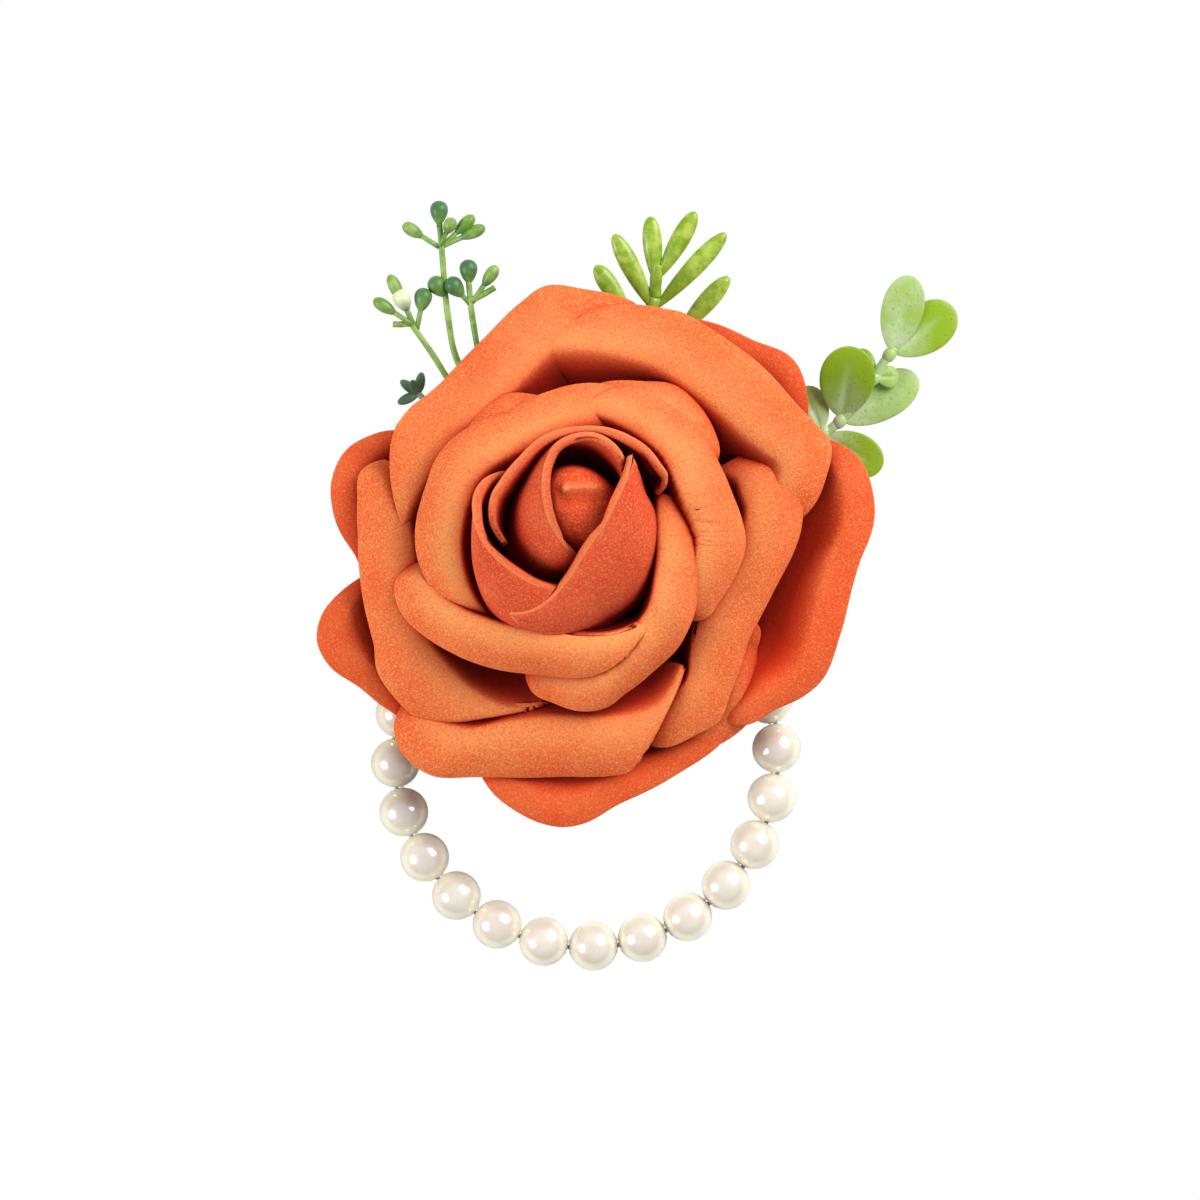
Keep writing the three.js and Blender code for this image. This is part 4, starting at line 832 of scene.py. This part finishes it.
disc_piece("felt_back", radius=9.8, low=0, high=1.5, soft=0.3, ragged=0.35, material=cream_felt)
disc_piece("base_felt", radius=19, low=BASE_FELT_LOW, high=BASE_FELT_HIGH, soft=0.25, ragged=0.4,
           material=cream_felt, middle=FOOT)
disc_piece("glue_pad", radius=9.4, low=1.8, high=7.9, soft=1.6, ragged=1.0, material=milky_glue)

calyx = Builder()
calyx_high = CALYX_LOW + CALYX_HEIGHT
add_turned(calyx, [
    (POINT_RADIUS, 5.0), (1.4, 5.0), (1.5, 5.2), (1.5, CALYX_LOW), (5.6, CALYX_LOW), (6.0, CALYX_LOW + 0.3),
    (8.6, 11.4), (9.5, 12.2), (9.6, 12.6), (9.4, calyx_high), (POINT_RADIUS, calyx_high),
], FOOT, CALYX_SIDES)
for sepal_angle in around(SEPALS):
    way = np.array([math.cos(sepal_angle), math.sin(sepal_angle), 0])
    start = np.array([*FOOT, SEPAL_Z]) + way * SEPAL_START
    add_egg(calyx, start, start + way * SEPAL_LENGTH, **SEPAL)
calyx.build("calyx_look", calyx_green, "rose", "calyx")


# Bracelet: pearls with lipped bores, each with its own stretch of elastic. The pearls stand on places counted
# round the ring from its top, and both ends of the elastic run into the glue.

ELASTIC_Z = 4.0
RING = np.array([0, -28.5, ELASTIC_Z])
RING_RADIUS = 30.5
FIRST_DEGREES, STEP_DEGREES = 92.2, 15
FIRST_PLACE, LAST_PLACE = 2, 22
PITCH = 2 * RING_RADIUS * math.sin(math.radians(STEP_DEGREES / 2))
STRETCH = 1.25

PEARL_RADIUS = 3.9
PEARL_SIDES, PEARL_RINGS = 48, 40
BORE_ANGLE = 0.33
BORE_RADIUS, BORE_REACH = 0.8, 3.4
LIP = [(BORE_RADIUS, -3.6), (0.85, -3.82), (1.0, -3.86), (1.15, -3.78)]

# Where the elastic enters the glue, how far its two ends run on into it, and how far out the glue holds it
CORD_RADIUS, CORD_STEPS = 0.35, 6
ENTRY_X = 10.4
FIRST_TAIL, LAST_TAIL = 4.3, 3.7
HELD_X = 10.1
END_SLEEVE = [(10.3, 0), (10.6, -0.05), (10.95, -0.15)]
END_SLEEVE_RADII = [0.5, 0.55, 0.42]


def add_pearl(builder, middle, way):
    """A sphere round a bore that lies along way, with a small lip at each end of the bore."""
    outside = [(PEARL_RADIUS * math.sin(a), -PEARL_RADIUS * math.cos(a))
               for a in np.linspace(BORE_ANGLE, math.pi - BORE_ANGLE, PEARL_RINGS)]
    other_lip = [(r, -h) for r, h in reversed(LIP)]
    bore = [(BORE_RADIUS, BORE_REACH), (BORE_RADIUS, -BORE_REACH)]
    profile = LIP + outside + other_lip + bore + LIP[:1]
    side = unit(np.cross(way, (0, 0, 1)))
    up = np.cross(side, way)
    turn = around(PEARL_SIDES)[:, None]
    rows = np.array([middle + way * h + r * (side * np.cos(turn) + up * np.sin(turn)) for r, h in profile])
    builder.rings(rows, caps=False)


for place in range(FIRST_PLACE, LAST_PLACE + 1):
    body = f"pearl_{place - FIRST_PLACE + 1:02d}"
    angle = math.radians(FIRST_DEGREES + STEP_DEGREES * place)
    middle = RING + RING_RADIUS * np.array([math.cos(angle), math.sin(angle), 0])
    way = np.array([-math.sin(angle), math.cos(angle), 0])
    bead = Builder()
    add_pearl(bead, middle, way)
    bead.build(body + "_nacre", pearl_nacre, body, body)
    reach = PITCH * STRETCH / 2
    ends = [middle - way * reach, middle, middle + way * reach]
    for last, index, side, tail in ((FIRST_PLACE, 0, -1, FIRST_TAIL), (LAST_PLACE, 2, 1, LAST_TAIL)):
        if place == last:
            entry = np.array([side * ENTRY_X, 0, ELASTIC_Z])
            ends[index] = entry + unit(entry - middle) * tail
    cord = Builder()
    add_tube(cord, through(ends, CORD_STEPS), CORD_RADIUS)
    cord.build(body + "_elastic", clear_elastic, body, None)

holds = Builder()
for side in (-1, 1):
    add_tube(holds, [(side * x, y, ELASTIC_Z) for x, y in END_SLEEVE], END_SLEEVE_RADII)
holds.build("elastic_ends", clear_elastic, "loop", "elastic_loop")

held = Builder()
add_tube(held, [(x, 0, ELASTIC_Z) for x in (-HELD_X, 0, HELD_X)], CORD_RADIUS)
held.build("elastic_held", clear_elastic, "rose", "elastic_in_glue")


# Sprigs, with the same places as the solids: shares of the reach from the calyx

REACH = 60
STEM_Z = BASE_FELT_HIGH + GAP + 1.0
STEM_STEPS = 10
KNOBBLE, KNOBBLE_PACE = 0.03, 0.7

# Stems have their diameter here, and a layer says how far a piece has the colour of its tip
BERRY_STEM, BARE_STALK = 1.1, 1.0
BERRY_TAPER = 0.85
STALK = dict(radii=0.42, sides=10)
BERRY_STALK_LAYER, BUD_STALK_LAYER = 0.3, 0.2
BERRY = dict(width=2.88, thickness=2.88, widest=0.64)
BERRY_BELOW, BERRY_ABOVE = 2.6, 1.44
SPRIG_BUD = dict(width=2.1, thickness=2.1, widest=0.6, layer=(0.7, 0))
BUD_STALK_SHARE = 0.42

TUFT_STEM, TUFT_LEAF_LENGTH = 1.0, 3.6
TUFT_LEAF = dict(width=1.62, thickness=0.8, widest=0.5, cup=0.12)

FINGER_STEM = 2.0
FINGER_LEAF = dict(width=3.12, thickness=1.92, widest=0.65, layer=(0.6, 0))

JADE_STEM, JADE_WIDTH = 1.5, 7.08
JADE_LEAF = dict(thickness=1.2, widest=0.58, cup=0.07, groove=0.22, rings=40, sides=72)
JADE_COLLAR = dict(width=2.1, thickness=2.1, widest=0.5, layer=(0, 0))
COLLAR_HALF = np.array([0.9, 1.1, 0.2])


def places(shares):
    return [np.array([REACH * x, REACH * y, STEM_Z + REACH * z]) for x, y, z in shares]


def add_stem(builder, shares, diameter, taper=1.0):
    line = through(places(shares), STEM_STEPS)
    radii = diameter / 2 * np.linspace(1, taper, len(line))
    add_tube(builder, line, radii * (1 + KNOBBLE * np.sin(np.arange(len(line)) * KNOBBLE_PACE)))


berry = Builder()
fork = [-0.19, 0.34, 0]
add_stem(berry, [[-0.08, 0.187, 0], [-0.125, 0.25, 0], fork], BERRY_STEM)
for route in (
    [fork, [-0.33, 0.55, 0.01], [-0.366, 0.69, 0.025], [-0.382, 0.86, 0.035], [-0.39, 0.955, 0.04]],
    [fork, [-0.27, 0.54, 0.01], [-0.3, 0.68, 0.03], [-0.312, 0.79, 0.04]],
    [fork, [-0.34, 0.493, 0.01], [-0.406, 0.59, 0.025], [-0.462, 0.67, 0.04]],
):
    add_stem(berry, route, BERRY_STEM, BERRY_TAPER)
for *ends, layer in (
    [[-0.39, 0.93, 0.04], [-0.39, 0.976, 0.042], (0.2, 1)],
    [[-0.31, 0.77, 0.038], [-0.312, 0.82, 0.042], (0.2, 1)],
    [[-0.303, 0.72, 0.033], [-0.352, 0.775, 0.045], (0.4, 1)],
    [[-0.375, 0.75, 0.03], [-0.397, 0.777, 0.03], (0.2, 0.6)],
    [[-0.45, 0.655, 0.036], [-0.49, 0.742, 0.05], (1, 2)],
    [[-0.45, 0.655, 0.036], [-0.432, 0.745, 0.035], (0.2, 0.8)],
):
    foot, middle = places(ends)
    add_tube(berry, [foot, (foot + middle) / 2, middle], layer=BERRY_STALK_LAYER, **STALK)
    rise = unit(middle - foot)
    add_egg(berry, middle - rise * BERRY_BELOW, middle + rise * BERRY_ABOVE, layer=layer, **BERRY)
for ends in (
    [[-0.39, 0.877, 0.035], [-0.486, 0.937, 0.05]], [[-0.386, 0.875, 0.035], [-0.297, 0.96, 0.045]],
    [[-0.386, 0.877, 0.035], [-0.268, 0.931, 0.035]], [[-0.388, 0.88, 0.04], [-0.352, 0.953, 0.065]],
    [[-0.302, 0.73, 0.035], [-0.236, 0.827, 0.05]], [[-0.458, 0.67, 0.04], [-0.564, 0.738, 0.05]],
    [[-0.46, 0.675, 0.04], [-0.522, 0.803, 0.05]],
):
    foot, tip = places(ends)
    stalk_end = foot * (1 - BUD_STALK_SHARE) + tip * BUD_STALK_SHARE
    add_tube(berry, [foot, (foot + stalk_end) / 2, (stalk_end * 3 + tip) / 4], layer=BUD_STALK_LAYER, **STALK)
    add_egg(berry, stalk_end, tip, **SPRIG_BUD)
for route in (
    [[-0.303, 0.735, 0.035], [-0.27, 0.753, 0.033], [-0.242, 0.77, 0.03]],
    [[-0.46, 0.675, 0.035], [-0.488, 0.672, 0.033], [-0.512, 0.672, 0.03]],
):
    add_stem(berry, route, BARE_STALK)
berry.build("berry_sprig_look", berry_green, "rose", "berry_sprig")

tuft = Builder()
tuft_top = [-0.446, 0.488, 0.02]
add_stem(tuft, [[-0.11, 0.162, 0], [-0.25, 0.3, 0], tuft_top], TUFT_STEM)
foot, *tips = places([
    tuft_top, [-0.434, 0.553, 0.04], [-0.492, 0.522, 0.035], [-0.466, 0.53, 0.075], [-0.514, 0.456, 0.025]])
for tip in tips:
    add_egg(tuft, foot, foot + unit(tip - foot) * TUFT_LEAF_LENGTH, **TUFT_LEAF)
tuft.build("leaf_tuft_look", tuft_green, "rose", "leaf_tuft")

finger = Builder()
finger_fork = [0.183, 0.745, 0.02]
for route in (
    [[0.074, 0.213, 0], [0.1, 0.4, 0], [0.15, 0.62, 0], finger_fork],
    [[0.14, 0.58, 0], [0.126, 0.65, 0.005], [0.116, 0.7, 0.011]],
    [[0.135, 0.56, 0], [0.19, 0.6, 0], [0.243, 0.645, 0.008]],
    [finger_fork, [0.186, 0.79, 0.028], [0.191, 0.83, 0.033]],
):
    add_stem(finger, route, FINGER_STEM)
for ends in (
    [[0.12, 0.69, 0.012], [0.026, 0.828, 0.035]], [[0.184, 0.7, 0.016], [0.074, 0.911, 0.05]],
    [[0.186, 0.77, 0.026], [0.171, 0.958, 0.04]], [[0.187, 0.785, 0.029], [0.291, 0.97, 0.055]],
    [[0.174, 0.703, 0.017], [0.372, 0.914, 0.04]], [[0.232, 0.632, 0.008], [0.38, 0.798, 0.03]],
):
    add_egg(finger, *places(ends), **FINGER_LEAF)
finger.build("finger_sprig_look", finger_green, "rose", "finger_sprig")

jade = Builder()
add_stem(jade, [[0.182, 0.114, 0], [0.35, 0.2, 0], [0.56, 0.33, 0.005], [0.675, 0.415, 0.015],
                [0.735, 0.485, 0.03], [0.79, 0.57, 0.045], [0.82, 0.61, 0.05]], JADE_STEM)
jade.build("jade_stem_look", jade_green, "rose", "jade_stem")

# Each pair of jade leaves has the place of its collar, and for each leaf its foot, tip, width share and how
# far its layer goes
for name, collar, leaves in (
    ["jade_leaves_top", [0.806, 0.591, 0.0475], [
        [[0.812, 0.6, 0.05], [0.862, 0.8, 0.08], 0.95, 0.5],
        [[0.818, 0.595, 0.05], [0.976, 0.716, 0.06], 1.1, 1]]],
    ["jade_leaves_upper", [0.764, 0.528, 0.0375], [
        [[0.764, 0.535, 0.036], [0.722, 0.605, 0.015], 0.45, 0.9],
        [[0.77, 0.53, 0.038], [0.83, 0.535, 0.02], 0.5, 0.6]]],
    ["jade_leaves_middle", [0.675, 0.415, 0.015], [
        [[0.678, 0.424, 0.02], [0.706, 0.612, 0.1], 1.25, 1],
        [[0.686, 0.412, 0.012], [0.88, 0.535, 0.0], 1, 0.55]]],
    ["jade_leaves_lower", [0.63, 0.383, 0.0105], [
        [[0.628, 0.392, 0.01], [0.572, 0.505, 0.015], 0.8, 0.6],
        [[0.638, 0.375, 0.01], [0.785, 0.288, 0.015], 0.95, 1]]],
):
    pair = Builder()
    middle = places([collar])[0]
    add_egg(pair, middle - COLLAR_HALF, middle + COLLAR_HALF, **JADE_COLLAR)
    for *ends, width_share, greenest in leaves:
        add_egg(pair, *places(ends), width=JADE_WIDTH * width_share, layer=(0, greenest), **JADE_LEAF)
    pair.build(name + "_look", jade_green, "rose", name)


# Floor and light. The floor is white where the camera sees it, pale grey to the object, and clear from below.

FLOOR_REACH, FLOOR_Z = 4, -0.0005
WHITE = (1, 1, 1, 1)

floor_mesh = bpy.data.meshes.new("floor")
floor_mesh.from_pydata([(x * FLOOR_REACH, y * FLOOR_REACH, FLOOR_Z) for x, y in (
    (-1, -1), (1, -1), (1, 1), (-1, 1))], [], [(0, 1, 2, 3)])
floor = add_object("floor", floor_mesh)

floor_shader = Shader("white_floor", (255, 255, 255), roughness=0.9)
floor_shader.set(Base_Color=(0.86, 0.86, 0.86, 1))
glow = floor_shader.node("ShaderNodeEmission")
fill(glow, Color=WHITE, Strength=1.0)


def either(factor, first, second):
    """One shader where the factor is 0, the other where it is 1."""
    made = floor_shader.node("ShaderNodeMixShader")
    for source, socket in ((factor, "Fac"), (first, 1), (second, 2)):
        floor_shader.link(source, made.inputs[socket])
    return made.outputs["Shader"]


seen = either(floor_shader.node("ShaderNodeLightPath").outputs["Is Camera Ray"],
              floor_shader.surface.outputs["BSDF"], glow.outputs["Emission"])
one_way = either(floor_shader.node("ShaderNodeNewGeometry").outputs["Backfacing"],
                 seen, floor_shader.node("ShaderNodeBsdfTransparent").outputs["BSDF"])
floor_shader.link(one_way, floor_shader.tree.nodes["Material Output"].inputs["Surface"])
floor_mesh.materials.append(floor_shader.material)

world = bpy.data.worlds.new("studio")
world.use_nodes = True
fill(world.node_tree.nodes["Background"], Color=WHITE, Strength=0.3)
bpy.context.scene.world = world


def softbox(name, place, width, power):
    """A square lamp that faces the middle of the scene."""
    data = bpy.data.lights.new(name, "AREA")
    data.size = width
    data.energy = power
    made = add_object(name, data)
    made.location = place
    made.rotation_euler = (-Vector(place)).to_track_quat("-Z", "Y").to_euler()


softbox("softbox_left", place=(-0.85, -0.2, 0.55), width=0.45, power=6.9)
softbox("softbox_right", place=(0.66, 0.52, 0.68), width=0.7, power=12.8)
